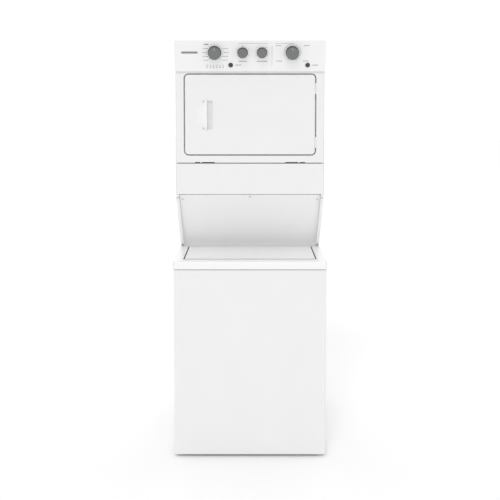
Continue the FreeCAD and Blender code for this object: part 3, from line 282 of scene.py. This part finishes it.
def smooth_by_angle(piece: bpy.types.Object, angle: float = math.radians(35.0)) -> None:
    """Smooth the faces of a mesh and keep the edges sharper than an angle."""
    mesh = piece.data
    work = bmesh.new()
    work.from_mesh(mesh)
    for face in work.faces:
        face.smooth = True
    for edge in work.edges:
        edge.smooth = len(edge.link_faces) != 2 or edge.calc_face_angle(0.0) < angle
    work.to_mesh(mesh)
    work.free()


def soften(piece: bpy.types.Object, width: float, segments: int = 3) -> None:
    """Round the sharp edges of a piece by a width in metres."""
    bevel = piece.modifiers.new("soft_edges", "BEVEL")
    bevel.width = width
    bevel.segments = segments
    bevel.limit_method = "ANGLE"
    bevel.angle_limit = math.radians(40.0)
    bevel.use_clamp_overlap = True
    bevel.harden_normals = True


def grid_faces(rows: int, columns: int, wrap: bool) -> list[tuple[int, int, int, int]]:
    """Quads of a grid of vertices laid row by row.

    Args:
        rows: Number of rows.
        columns: Vertices in a row.
        wrap: Whether each row closes on itself.

    Returns:
        The faces.
    """
    faces = []
    for i in range(rows - 1):
        for j in range(columns if wrap else columns - 1):
            k = (j + 1) % columns
            faces.append((i * columns + j, i * columns + k, (i + 1) * columns + k, (i + 1) * columns + j))
    return faces


def add_block(points: list[Vector], faces: list[tuple[int, ...]], corners: Sequence[Vector]) -> None:
    """Add a closed six-sided block to the lists of a piece.

    Args:
        points: Vertices of the piece, which the corners join.
        faces: Faces of the piece, which the block's faces join.
        corners: Its eight corners: a ring of four, then the ring opposite in the same order.
    """
    n = len(points)
    points += corners
    faces += [(n + 4, n + 5, n + 6, n + 7), (n, n + 3, n + 2, n + 1)]
    faces += [(n + k, n + (k + 1) % 4, n + 4 + (k + 1) % 4, n + 4 + k) for k in range(4)]


def upright_corners(across: tuple[float, float], deep: tuple[float, float],
                    levels: tuple[float, float]) -> list[Vector]:
    """Corners of an upright block, from its spans across, in depth and in height."""
    ring = [(across[0], deep[0]), (across[1], deep[0]), (across[1], deep[1]), (across[0], deep[1])]
    return [Vector((x, y, z)) for z in levels for x, y in ring]


# ---------------------------------------------------------------- console and its controls
@dataclass(frozen=True)
class Face:
    """The leaning face of the console, as a plane with its own x, up and out."""

    foot: Vector
    brow: Vector

    @property
    def up(self) -> Vector:
        """Direction up the face."""
        return (self.brow - self.foot).normalized()

    @property
    def out(self) -> Vector:
        """Direction out of the face."""
        return Vector((1.0, 0.0, 0.0)).cross(self.up)

    def at(self, x: float, z: float) -> Vector:
        """Point on the face at a place across and a level."""
        share = (z - self.foot.z) / (self.brow.z - self.foot.z)
        point = self.foot.lerp(self.brow, share)
        return Vector((x, point.y, z))

    def matrix(self, x: float, z: float) -> Matrix:
        """Matrix whose X runs across, Y up the face and Z out of it."""
        across = Vector((1.0, 0.0, 0.0))
        turn = Matrix((across, self.up, self.out)).transposed().to_4x4()
        return Matrix.Translation(self.at(x, z)) @ turn


@dataclass
class Knob:
    """Round moulded knob: a thin skirt, a ribbed side, a rounded rim and a slightly crowned top."""

    node: str
    radius: float
    height: float
    x: float
    level: float
    ribs: int = 36
    rib_depth: float = 0.0003
    steps: int = 144
    crown: float = 0.4 * MM
    face_depth: float = 3.0 * MM
    pointer: bool = True

    def profile(self) -> list[tuple[float, float, bool]]:
        """Radius, height and whether the ribs show, from the base to the middle of the top."""
        r, h = self.radius, self.height
        points = [(r - 1.2 * MM, 1.0 * MM, False), (r, 1.4 * MM, False), (r, 3.4 * MM, False),
                  (r - 0.5 * MM, 4.2 * MM, False), (r - 1.5 * MM, 4.6 * MM, True)]
        top = h - 3.2 * MM
        points += [(r - 1.5 * MM - 0.8 * MM * k / 4, 4.6 * MM + (top - 4.6 * MM) * k / 4, True)
                   for k in range(1, 5)]
        rim = r - 2.3 * MM
        points += [(rim - 2.6 * MM * (1 - math.cos(a)), top + 2.8 * MM * math.sin(a), False)
                   for a in (math.radians(15 * k) for k in range(1, 7))]
        points += [(rim * f, h - 0.4 * MM + self.crown * (1 - f * f), False) for f in (0.82, 0.6, 0.35, 0.12)]
        return points

    def build(self, face: Face, finishes: Finishes) -> list[bpy.types.Object]:
        """Make the knob and its pointer on the console's face.

        Args:
            face: The console's face.
            finishes: Where the finishes come from.

        Returns:
            The new pieces.
        """
        points = []
        profile = self.profile()
        for radius, height, ribbed in profile:
            for j in range(self.steps):
                a = 2 * math.pi * j / self.steps
                r = radius - (self.rib_depth * (0.5 + 0.5 * math.cos(self.ribs * a)) if ribbed else 0.0)
                points.append(Vector((r * math.cos(a), r * math.sin(a), height)))
        faces = grid_faces(len(profile), self.steps, True)
        last = (len(profile) - 1) * self.steps
        faces = [f[::-1] for f in faces]
        faces.append(tuple(range(self.steps))[::-1])
        faces.append(tuple(last + j for j in range(self.steps)))
        body = new_piece(self.node + "_cap", points, faces)
        place = face.matrix(self.x, self.level)
        finishes.dress(body, "knob_plastic")
        body.data.materials.append(finishes.get("knob_side_shade"))
        # the ribbed side takes the darker finish: painted shade on the knob's side
        for polygon in body.data.polygons:
            polygon.material_index = 1 if polygon.center.z < self.height - self.face_depth else 0
        body.data.transform(place)
        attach(body, self.node)
        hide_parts(self.node)
        pieces = [body]
        if self.pointer:
            pieces.append(self._pointer(place, finishes))
        return pieces

    def _pointer(self, place: Matrix, finishes: Finishes) -> bpy.types.Object:
        """Pale inlaid line at the top of the knob.

        Args:
            place: Matrix of the knob on the face.
            finishes: Where the finishes come from.

        Returns:
            The inlay.
        """
        half = 0.8 * MM
        low, high = self.radius * 0.42, self.radius * 0.80
        z = self.height - 0.1 * MM
        corners = [Vector((side * half, v, z + dz))
                   for dz in (-0.8 * MM, 0.0) for v in (low, high) for side in (-1, 1)]
        faces = [(0, 1, 3, 2), (4, 5, 7, 6), (0, 1, 5, 4), (2, 3, 7, 6), (0, 2, 6, 4), (1, 3, 7, 5)]
        line = new_piece(self.node + "_pointer", corners, faces, False)
        soften(line, 0.2 * MM, 2)
        line.data.transform(place)
        finishes.dress(line, "pointer_white")
        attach(line, self.node)
        return line


@dataclass
class Console:
    """Control housing: its knobs, buttons, lights and printed scales."""

    timer_radius: float = 31.0 * MM
    timer_height: float = 27.0 * MM
    selector_radius: float = 24.0 * MM
    selector_height: float = 25.0 * MM
    print_thickness: float = 0.12 * MM
    line_width: float = 1.8 * MM
    tick_length: float = 4.6 * MM

    def __post_init__(self) -> None:
        """Read the housing's face from the frame."""
        low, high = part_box("console_panel")
        dryer_low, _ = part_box("dryer_front_panel")
        lean = 42.0 / 137.0
        face_height = (high.z - low.z) - 4.0 * MM
        foot_y = dryer_low.y - 8.0 * MM
        self.low, self.high = low, high
        self.face = Face(Vector((0.0, foot_y, low.z)),
                         Vector((0.0, foot_y - face_height * lean, low.z + face_height)))
        self.knob_level = low.z + 86.0 * MM
        self.button_level = low.z + 30.0 * MM
        self.light_level = low.z + 20.0 * MM

    def knobs(self) -> list[Knob]:
        """The four knobs, placed from their nodes."""
        found = []
        for node, radius, height in (("washer_timer_knob", self.timer_radius, self.timer_height),
                                     ("dryer_timer_knob", self.timer_radius, self.timer_height),
                                     ("temperature_knob", self.selector_radius, self.selector_height),
                                     ("load_knob", self.selector_radius, self.selector_height)):
            low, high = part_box(node)
            found.append(Knob(node, radius, height, (low.x + high.x) / 2, self.knob_level,
                              pointer=node in ("dryer_timer_knob", "washer_timer_knob")))
        return found

    def _bar(self, x: float, z: float, width: float, height: float, angle: float = 0.0) -> list[Vector]:
        """Eight corners of one printed bar.

        Args:
            x: Middle, across.
            z: Level of its middle.
            width: Length along its own direction.
            height: Thickness of the stroke.
            angle: Turn of its direction on the face.

        Returns:
            The corners, back four first.
        """
        place = self.face.matrix(x, z) @ Matrix.Rotation(angle, 4, "Z")
        corners = []
        for lift in (0.0, self.print_thickness):
            for u, v in ((-1, -1), (1, -1), (1, 1), (-1, 1)):
                corners.append(place @ Vector((u * width / 2, v * height / 2, lift)))
        return corners

    def _print(self, name: str, bars: list[list[Vector]], finish: str, finishes: Finishes) -> None:
        """Join printed bars into one piece on the housing.

        Args:
            name: Name of the piece.
            bars: Corners of each bar.
            finish: Name of its finish.
            finishes: Where the finishes come from.
        """
        points: list[Vector] = []
        faces: list[tuple[int, ...]] = []
        for corners in bars:
            add_block(points, faces, corners)
        piece = new_piece(name, points, faces, False)
        finishes.dress(piece, finish)
        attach(piece, "cabinet")

    def _scale(self, x: float, radius: float, start: float, end: float, count: int) -> list[list[Vector]]:
        """Short strokes round a knob.

        Args:
            x: Middle of the knob.
            radius: Distance of the strokes from its middle.
            start: First angle in degrees, anticlockwise from the right.
            end: Last angle in degrees.
            count: Number of strokes.

        Returns:
            The bars.
        """
        bars = []
        for k in range(count):
            a = math.radians(start + (end - start) * k / (count - 1))
            along = Vector((radius * math.cos(a), radius * math.sin(a), 0))
            place = self.face.matrix(x, self.knob_level) @ along
            bars.append(self._bar(place.x, place.z, self.tick_length, self.line_width, a))
        return bars

    def _label(self, x: float, z: float, width: float, height: float = 3.6 * MM) -> list[list[Vector]]:
        """A row of plain dashes that stands where a printed word would."""
        count = max(1, round(width / (6.5 * MM)))
        pitch = width / count
        return [self._bar(x + (k - (count - 1) / 2) * pitch, z, pitch * 0.72, height) for k in range(count)]

    def scales(self, finishes: Finishes) -> None:
        """Print the scales, the plain label dashes and the dividing line."""
        washer, dryer, warm, load = [k.x for k in self.knobs()]
        ring = self.timer_radius + 7.0 * MM
        small = self.selector_radius + 6.0 * MM
        fine: list[list[Vector]] = []
        fine += self._scale(washer, ring, -50.0, 230.0, 15)
        fine += self._scale(warm, small, -30.0, 210.0, 5)
        fine += self._scale(load, small, -30.0, 210.0, 4)
        for row in range(5):
            z = self.knob_level + (34.0 - 17.0 * row) * MM
            fine += self._label(washer - 46.0 * MM + abs(row - 2) * 3.0 * MM, z, 22.0 * MM, 2.2 * MM)
            if row:
                fine += self._label(washer + 53.0 * MM - abs(row - 2) * 3.0 * MM, z, 24.0 * MM, 2.2 * MM)
        for z_step, reach in ((30.0, 64.0), (-38.0, 60.0)):
            for side in (-1, 1):
                fine += self._label(dryer + side * reach * MM, self.knob_level + z_step * MM,
                                    27.0 * MM, 3.0 * MM)
        fine.append(self._bar((warm + load) / 2 + 3.0 * MM, self.high.z - 15.0 * MM, 135.0 * MM, 1.0 * MM))
        fine.append(self._bar(dryer - 36.0 * MM, self.high.z - 15.0 * MM, 84.0 * MM, 1.0 * MM))
        fine.append(self._bar(dryer - 92.5 * MM, self.knob_level - 17.0 * MM, 0.8 * MM, 96.0 * MM))
        self._print("console_scales", fine, "print_grey", finishes)
        strong: list[list[Vector]] = self._scale(dryer, ring, -60.0, 240.0, 25)
        strong += self._label(washer - 36.0 * MM, self.knob_level + 37.0 * MM, 20.0 * MM)
        strong += self._label(warm, self.knob_level - 39.0 * MM, 38.0 * MM, 3.2 * MM)
        strong += self._label(load, self.knob_level - 39.0 * MM, 50.0 * MM, 3.2 * MM)
        for node in ("signal_button", "start_button"):
            low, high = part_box(node)
            strong += self._label(high.x + 24.0 * MM, self.button_level, 27.0 * MM, 3.2 * MM)
        self._print("console_labels", strong, "print_dark", finishes)

    def icons(self, finishes: Finishes) -> None:
        """Plain status marks over the six lights: squares, chevrons and dots."""
        low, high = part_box("status_lights")
        pitch = (high.x - low.x - 6.8 * MM) / 5
        bars: list[list[Vector]] = []
        for k in range(6):
            x = low.x + 3.4 * MM + k * pitch
            z = self.light_level + 9.0 * MM
            if k in (0, 3):
                bars.append(self._bar(x, z + 2.2 * MM, 7.0 * MM, 1.0 * MM))
                bars.append(self._bar(x - 3.2 * MM, z - 1.0 * MM, 6.0 * MM, 1.0 * MM, math.pi / 2))
                bars.append(self._bar(x + 3.2 * MM, z - 1.0 * MM, 6.0 * MM, 1.0 * MM, math.pi / 2))
            elif k in (1, 4):
                bars.append(self._bar(x - 1.6 * MM, z, 6.0 * MM, 1.0 * MM, math.radians(-55)))
                bars.append(self._bar(x + 1.6 * MM, z, 6.0 * MM, 1.0 * MM, math.radians(55)))
            else:
                bars.append(self._bar(x, z + 1.0 * MM, 4.0 * MM, 1.8 * MM))
                bars.append(self._bar(x, z - 2.0 * MM, 5.5 * MM, 1.0 * MM))
        self._print("console_icons", bars, "print_grey", finishes)

    def badge(self, finishes: Finishes) -> None:
        """Plain raised bar at the left end of the face."""
        place = self.face.matrix(self.low.x + 70.0 * MM, self.knob_level)
        half_x, half_y = 38.0 * MM, 4.6 * MM
        ring = []
        for sx, sy, start in ((1, 1, 0), (-1, 1, 90), (-1, -1, 180), (1, -1, 270)):
            for step in range(5):
                a = math.radians(start + 22.5 * step)
                ring.append(Vector((sx * (half_x - half_y) + half_y * math.cos(a), half_y * math.sin(a), 0)))
        count = len(ring)
        points = [place @ p for p in ring] + [place @ (p + Vector((0, 0, 0.8 * MM))) for p in ring]
        faces: list[tuple[int, ...]] = [tuple(range(count))[::-1], tuple(range(count, 2 * count))]
        faces += [(k, (k + 1) % count, count + (k + 1) % count, count + k) for k in range(count)]
        piece = new_piece("console_bar", points, faces)
        soften(piece, 0.25 * MM, 2)
        finishes.dress(piece, "badge_grey")
        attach(piece, "cabinet")

    def build(self, finishes: Finishes) -> None:
        """Make every control and mark of the console."""
        for knob in self.knobs():
            for piece in knob.build(self.face, finishes):
                LOG.info("made %s", piece.name)
        self.scales(finishes)
        self.icons(finishes)
        self.badge(finishes)
        LOG.info("made console prints")


# ---------------------------------------------------------------- dryer door
@dataclass
class DoorGrip:
    """Raised grip: a curved outer side that rises to a straight rolled lip over the pocket."""

    lip_roll: float = 3.5 * MM
    rows: int = 40
    columns: int = 18

    def build(self, finishes: Finishes) -> bpy.types.Object:
        """Make the grip in the space of its node.

        Args:
            finishes: Where the finishes come from.

        Returns:
            The grip.
        """
        low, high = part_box("door_handle")
        _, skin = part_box("door_panel")
        base = skin.y - 10.0 * MM
        half = (high.z - low.z) / 2
        middle = (high.z + low.z) / 2
        proud = base - low.y
        sag = high.x - low.x
        bow = (half * half + sag * sag) / (2 * sag)
        points = []
        for i in range(self.rows + 1):
            t = math.sin(math.pi / 2 * (2 * i / self.rows - 1))
            v = t * half
            left = high.x - (math.sqrt(max(bow * bow - v * v, 0.0)) - (bow - sag))
            rise = proud * (1 - abs(t) ** 4) ** 0.5
            span = high.x - left
            for j in range(self.columns + 1):
                u = j / self.columns
                swell = math.sin(u * math.pi / 2) ** 1.5
                proud_here = max(rise * swell, 0.02 * MM)
                points.append(Vector((left + span * u, base - proud_here, middle + v)))
            roll = min(self.lip_roll, rise * 0.5)
            for k in range(1, 7):
                a = math.radians(30 * k)
                curl = roll * (1 - math.cos(a)) * 0.5
                tuck = roll * 0.2 if k > 4 else 0.0
                points.append(Vector((high.x - curl - tuck, base - rise + curl + roll * 0.2, middle + v)))
            points.append(Vector((high.x - span * 0.35, base - 0.02 * MM, middle + v)))
        faces = grid_faces(self.rows + 1, self.columns + 8, False)
        grip = new_piece("door_grip", points, faces)
        finishes.dress(grip, "white_plastic")
        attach(grip, "dryer_door")
        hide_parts("door_handle")
        return grip


# ---------------------------------------------------------------- hollow behind the lid
@dataclass
class RecessWall:
    """Hollow wall behind the lid, rolled under the dryer and coved into the deck."""

    top_roll: float = 13.0 * MM
    foot_cove: float = 40.0 * MM
    foot_drop: float = 2.4 * MM
    sheet: float = 1.2 * MM
    arc_steps: int = 12

    def line(self) -> list[tuple[float, float]]:
        """Side line of the wall as (y, z), from under the dryer down to the deck."""
        low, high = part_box("recess_panel")
        z_top = high.z - self.sheet
        z_foot = low.z - self.foot_drop
        front = low.y
        corners = [(front, z_top), (front + 13.6 * MM, z_top), (front + 257.0 * MM, z_foot + 18.0 * MM),
                   (front + 252.5 * MM, z_foot)]
        line = [corners[0]]
        for i, reach in ((1, self.top_roll), (2, self.foot_cove)):
            line += self._bend(corners[i - 1], corners[i], corners[i + 1], reach)
        line.append(corners[-1])
        return line

    def _bend(self, before: tuple[float, float], at: tuple[float, float], after: tuple[float, float],
              reach: float) -> list[tuple[float, float]]:
        """Round a corner with a smooth curve.

        Args:
            before: Point before the corner.
            at: The corner.
            after: Point after it.
            reach: How far from the corner the curve begins and ends.

        Returns:
            The points of the curve.
        """
        def towards(point: tuple[float, float]) -> tuple[float, float]:
            """Point at the reach from the corner."""
            run = math.hypot(point[0] - at[0], point[1] - at[1])
            share = min(reach / run, 0.9)
            return (at[0] + (point[0] - at[0]) * share, at[1] + (point[1] - at[1]) * share)

        a, b = towards(before), towards(after)
        curve = []
        for k in range(self.arc_steps + 1):
            t = k / self.arc_steps
            w = ((1 - t) ** 2, 2 * t * (1 - t), t * t)
            curve.append((w[0] * a[0] + w[1] * at[0] + w[2] * b[0], w[0] * a[1] + w[1] * at[1] + w[2] * b[1]))
        return curve

    def build(self, finishes: Finishes) -> bpy.types.Object:
        """Make the wall with its two cheeks and its foot flange.

        Args:
            finishes: Where the finishes come from.

        Returns:
            The wall.
        """
        low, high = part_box("recess_panel")
        line = self.line()
        half = high.x
        points: list[Vector] = []
        faces: list[tuple[int, ...]] = []
        for y, z in line:
            points += [Vector((-half, y, z)), Vector((half, y, z))]
        faces += [(2 * i, 2 * i + 1, 2 * i + 3, 2 * i + 2) for i in range(len(line) - 1)]
        front_top, front_foot = (low.y + 3.0 * MM, high.z - 8.0 * MM), (line[-1][0] - 5.0 * MM, line[-1][1])
        for side in (0, 1):
            x = half if side else -half
            first = len(points)
            for y, z in line:
                share = max(0.0, min(1.0, (front_top[1] - z) / (front_top[1] - front_foot[1])))
                edge_y = front_top[0] + (front_foot[0] - front_top[0]) * share
                points += [Vector((x, y, z)), Vector((x, min(edge_y, y), z))]
            faces += [(first + 2 * i, first + 2 * i + 1, first + 2 * i + 3, first + 2 * i + 2)
                      for i in range(len(line) - 1)]
        n = len(points)
        points += [Vector((-half, line[-1][0], line[-1][1])), Vector((half, line[-1][0], line[-1][1])),
                   Vector((half, high.y, line[-1][1])), Vector((-half, high.y, line[-1][1]))]
        faces.append((n, n + 1, n + 2, n + 3))
        wall = new_piece("recess_wall", points, faces)
        skin = wall.modifiers.new("sheet", "SOLIDIFY")
        skin.thickness = 0.6 * MM
        skin.offset = 0.0
        # the wall takes the whiter finish: painted light that lifts it out of its shade
        finishes.dress(wall, "porcelain_shade_lifted")
        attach(wall, "cabinet")
        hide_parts("recess_panel")
        return wall


# ---------------------------------------------------------------- painted shade in the gap round the lid
@dataclass
class LidGapShade:
    """Dark strips in the gap round the lid: painted shade, put where the gap holds only shadow.

    The lid's node reaches out to its hinge pins, and back past the end of the side gaps.
    """

    pins: float = 16.0 * MM
    back_stop: float = 14.0 * MM
    side_strip: float = 5.0 * MM
    side_clear: float = 0.7 * MM
    side_sunk: float = 3.0 * MM
    front_strip: float = 2.7 * MM
    front_clear: float = 0.5 * MM
    front_inset: float = 6.0 * MM
    front_proud: float = 0.9 * MM
    height: float = 3.0 * MM

    def build(self, finishes: Finishes) -> bpy.types.Object:
        """Make the two side strips and the front strip of painted shade.

        Args:
            finishes: Where the finishes come from.

        Returns:
            The strips.
        """
        low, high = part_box("washer_lid")
        half = high.x - self.pins
        near, far = half + self.side_clear, half + self.side_clear + self.side_strip
        side_top = high.z - self.side_sunk
        side_deep = (low.y, high.y - self.back_stop)
        side_levels = (side_top - self.height, side_top)
        front_top = high.z + self.front_proud
        points: list[Vector] = []
        faces: list[tuple[int, ...]] = []
        for side in (-1, 1):
            add_block(points, faces, upright_corners((side * near, side * far), side_deep, side_levels))
        front_y = low.y - self.front_clear
        reach = half - self.front_inset
        add_block(points, faces, upright_corners((-reach, reach), (front_y - self.front_strip, front_y),
                                                 (front_top - self.height, front_top)))
        strips = new_piece("lid_gap_shade_strips", points, faces, False)
        soften(strips, 0.5 * MM, 2)
        # black rubber finish used as painted shade: these dark strips stand in for the shadow inside the gap
        finishes.dress(strips, "black_rubber")
        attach(strips, "cabinet")
        return strips


# ---------------------------------------------------------------- painted shade in the seam below the door
@dataclass
class SeamShadeBlocks:
    """Dark blocks that close the cut-outs in the seam below the door: painted shade for the shadow in the
    seam.
    """

    spans: tuple[tuple[float, float], ...] = ((163.3 * MM, 221.7 * MM), (229.3 * MM, 253.7 * MM))
    cut_height: float = 3.0 * MM
    behind: float = 0.5 * MM
    depth: float = 8.0 * MM
    clear: float = 0.25 * MM

    def build(self, finishes: Finishes) -> bpy.types.Object:
        """Make the four blocks of painted shade.

        Args:
            finishes: Where the finishes come from.

        Returns:
            The blocks.
        """
        front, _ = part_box("dryer_front_panel")
        _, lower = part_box("access_panel")
        deep = (front.y + self.behind, front.y + self.behind + self.depth)
        levels = (lower.z + self.clear, front.z + self.cut_height - self.clear)
        points: list[Vector] = []
        faces: list[tuple[int, ...]] = []
        for side in (-1, 1):
            for near, far in self.spans:
                add_block(points, faces, upright_corners((side * near, side * far), deep, levels))
        blocks = new_piece("seam_shade_blocks", points, faces, False)
        soften(blocks, 0.4 * MM, 2)
        # black rubber finish used as painted shade in the seam cut-outs
        finishes.dress(blocks, "black_rubber")
        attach(blocks, "cabinet")
        return blocks


# ---------------------------------------------------------------- perforated basket
@dataclass
class Basket:
    """Steel basket whose wall is pierced with rows of round holes."""

    around: int = 84
    rows: int = 17
    hole: float = 0.20

    def build(self, finishes: Finishes) -> bpy.types.Object:
        """Make the pierced wall and the floor.

        Args:
            finishes: Where the finishes come from.

        Returns:
            The basket.
        """
        low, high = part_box("basket")
        middle = (low + high) / 2
        radius = (high.x - low.x) / 2 - 0.75 * MM
        foot = low.z + 16.0 * MM
        cell_z = (high.z - foot) / self.rows
        points: list[Vector] = []
        faces: list[tuple[int, ...]] = []

        def wall_point(a: float, z: float) -> Vector:
            """Point on the wall at an angle and a level."""
            return Vector((middle.x + radius * math.cos(a), middle.y + radius * math.sin(a), z))

        for row in range(self.rows):
            for k in range(self.around):
                a = 2 * math.pi * (k + 0.5) / self.around
                z = foot + (row + 0.5) * cell_z
                da = math.pi / self.around
                n = len(points)
                outer = [(-1, -1), (0, -1), (1, -1), (1, 0), (1, 1), (0, 1), (-1, 1), (-1, 0)]
                for u, v in outer:
                    points.append(wall_point(a + u * da, z + v * cell_z / 2))
                if 0 < row < self.rows - 2 and (row + k) % 2 == 0:
                    bore = self.hole * 0.5 * cell_z
                    for step in range(8):
                        t = math.radians(-135 + 45 * step)
                        points.append(wall_point(a + bore * math.cos(t) / radius, z + bore * math.sin(t)))
                    faces += [(n + i, n + (i + 1) % 8, n + 8 + (i + 1) % 8, n + 8 + i) for i in range(8)]
                else:
                    faces.append(tuple(n + i for i in range(8)))
        rings = [(radius, foot), (radius - 10.0 * MM, low.z + 15.0 * MM), (60.0 * MM, low.z + 16.0 * MM),
                 (28.0 * MM, low.z + 18.0 * MM)]
        n = len(points)
        steps = 2 * self.around
        for r, z in rings:
            for k in range(steps):
                a = 2 * math.pi * k / steps
                points.append(Vector((middle.x + r * math.cos(a), middle.y + r * math.sin(a), z)))
        faces += [tuple(n + i for i in quad) for quad in grid_faces(len(rings), steps, True)]
        shell = new_piece("basket_shell", points, faces)
        skin = shell.modifiers.new("sheet", "SOLIDIFY")
        skin.thickness = 1.2 * MM
        skin.offset = 0.0
        finishes.dress(shell, "basket_steel")
        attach(shell, "spin_basket")
        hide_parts("basket")
        return shell


# ---------------------------------------------------------------- carried-over nodes
@dataclass
class CabinetDress:
    """Finishes and softened edges for the nodes that keep their own mesh."""

    # deck and lid are porcelain; the whiter value is also painted light that lifts them and the brackets out
    # of their shade
    porcelain_shade_lifted: tuple[str, ...] = ("washer_top", "washer_lid", "left_bracket", "right_bracket")
    enamel: tuple[str, ...] = ("washer_front_panel", "washer_cabinet", "dryer_left_side", "dryer_right_side",
                               "dryer_top", "dryer_front_panel", "access_panel", "door_panel",
                               "door_hinge_leaves", "door_hinge_knuckles")
    inner_enamel: tuple[str, ...] = ("drum",)
    white_plastic: tuple[str, ...] = ("console_panel", "door_liner", "front_bulkhead", "tub_ring",
                                      "balance_ring", "agitator", "drum_baffles")
    grey_plastic: tuple[str, ...] = ("outer_tub", "inlet_valve", "blower_housing", "lint_duct", "lint_screen")
    dark_plastic: tuple[str, ...] = ("drain_pump", "blower_wheel", "idler_pulley")
    button_plastic: tuple[str, ...] = ("signal_button", "start_button")
    rubber: tuple[str, ...] = ("levelling_feet", "washer_belt", "drum_belt", "left_roller", "right_roller")
    seal: tuple[str, ...] = ("door_seal",)
    lens: tuple[str, ...] = ("status_lights",)
    bright: tuple[str, ...] = ("suspension_rods", "motor_pulley", "motor_shaft", "panel_screws")
    zinc: tuple[str, ...] = ("washer_base", "washer_motor", "dryer_base", "rear_bulkhead", "dryer_motor",
                             "exhaust_duct", "heater_box", "dryer_rear_panel")
    cast: tuple[str, ...] = ("gearcase", "drive_pulley")
    sheet_edge: float = 0.5 * MM
    moulded_edge: float = 1.2 * MM

    def build(self, finishes: Finishes) -> None:
        """Dress every carried-over node.

        Args:
            finishes: Where the finishes come from.
        """
        plan = (("white_enamel", self.enamel, self.sheet_edge),
                ("porcelain_shade_lifted", self.porcelain_shade_lifted, self.sheet_edge),
                ("inner_enamel", self.inner_enamel, 0.0),
                ("white_plastic", self.white_plastic, self.moulded_edge),
                ("grey_plastic", self.grey_plastic, 0.0), ("dark_plastic", self.dark_plastic, 0.0),
                ("button_plastic", self.button_plastic, 0.0), ("black_rubber", self.rubber, 0.0),
                ("seal_rubber", self.seal, 0.0), ("lens_plastic", self.lens, 0.2 * MM),
                ("bright_steel", self.bright, 0.0), ("zinc_coat", self.zinc, 0.0),
                ("cast_alloy", self.cast, 0.0))
        for finish, nodes, edge in plan:
            for node in nodes:
                piece = bpy.data.objects[node]
                finishes.dress(piece, finish)
                self._shade(piece)
                if edge:
                    soften(piece, edge)
                LOG.info("dressed %s in %s", node, finish)

    def _shade(self, piece: bpy.types.Object) -> None:
        """Shade the curved faces of a node smoothly and keep its edges crisp."""
        mesh = piece.data
        mesh.polygons.foreach_set("use_smooth", [True] * len(mesh.polygons))
        mesh.set_sharp_from_angle(angle=math.radians(32.0))


# ---------------------------------------------------------------- studio
@dataclass
class Studio:
    """Pale floor, soft lights and the camera."""

    distance: float = 3.6
    eye: float = 1.630
    pitch: float = math.radians(3.643)
    sensor: float = 36.0
    lens: float = 58.51
    shift: float = -0.20
    floor_half: float = 30.0
    room_front: float = 0.80
    room_back: float = 1.12
    key_height: float = 50.0
    key_turn: float = 8.0
    key_spread: float = 24.0
    key_power: float = 0.60

    def build(self) -> None:
        """Set up the camera, the floor and the lights."""
        self._camera()
        self._floor()
        self._lights()

    def _camera(self) -> None:
        """Camera straight in front, at eye height, tilted down a little."""
        data = bpy.data.cameras.new("camera")
        data.sensor_width = self.sensor
        data.lens = self.lens
        data.shift_y = self.shift
        data.clip_end = 60.0
        camera = bpy.data.objects.new("camera", data)
        camera.location = (0.0, CAD_BOX[0][1] - self.distance, self.eye)
        camera.rotation_euler = (math.pi / 2 - self.pitch, 0.0, 0.0)
        bpy.context.scene.collection.objects.link(camera)
        bpy.context.scene.camera = camera

    def _floor(self) -> None:
        """Large pale floor."""
        h = self.floor_half
        floor = new_piece("floor", [Vector((x, y, 0.0)) for x, y in ((-h, -h), (h, -h), (h, h), (-h, h))],
                          [(0, 1, 2, 3)], False)
        floor.data.materials.append(Finish("floor_paint", (0.99, 0.99, 0.99), 1.0, grain_size=0.01,
                                           relief=0.0001, drift=0.0).build())

    def _sun(self, height: float, turn: float, spread: float, power: float) -> None:
        """Add one broad far light.

        Args:
            height: Angle above the floor, in degrees.
            turn: Angle to the left of straight in front, in degrees.
            spread: How broad the light is, in degrees.
            power: Strength.
        """
        data = bpy.data.lights.new("key", "SUN")
        data.energy = power
        data.angle = math.radians(spread)
        light = bpy.data.objects.new("key", data)
        light.rotation_euler = (math.radians(90.0 - height), 0.0, math.radians(-turn))
        bpy.context.scene.collection.objects.link(light)

    def _world(self) -> None:
        """Pale room, brightest on the wall behind the machine."""
        world = bpy.data.worlds.new("studio")
        world.use_nodes = True
        tree = world.node_tree
        place = tree.nodes.new("ShaderNodeTexCoord")
        split = tree.nodes.new("ShaderNodeSeparateXYZ")
        ramp = tree.nodes.new("ShaderNodeMapRange")
        ramp.interpolation_type = "SMOOTHSTEP"
        ramp.inputs["From Min"].default_value = -0.2
        ramp.inputs["From Max"].default_value = 0.85
        ramp.inputs["To Min"].default_value = self.room_front
        ramp.inputs["To Max"].default_value = self.room_back
        tree.links.new(place.outputs["Generated"], split.inputs["Vector"])
        tree.links.new(split.outputs["Y"], ramp.inputs["Value"])
        tree.links.new(ramp.outputs["Result"], tree.nodes["Background"].inputs["Strength"])
        tree.nodes["Background"].inputs["Color"].default_value = (1.0, 1.0, 1.0, 1.0)
        bpy.context.scene.world = world

    def _lights(self) -> None:
        """Pale room with one broad key light from above the camera."""
        bpy.context.scene.view_settings.view_transform = "Standard"
        self._world()
        self._sun(self.key_height, self.key_turn, self.key_spread, self.key_power)


def main() -> None:
    """Build the studio first, then every sub-assembly in order."""
    finishes = Finishes()
    Studio().build()
    CabinetDress().build(finishes)
    Console().build(finishes)
    for part in (DoorGrip(), RecessWall(), LidGapShade(), SeamShadeBlocks(), Basket()):
        piece = part.build(finishes)
        LOG.info("made %s", piece.name)


if __name__ == "__main__":
    main()
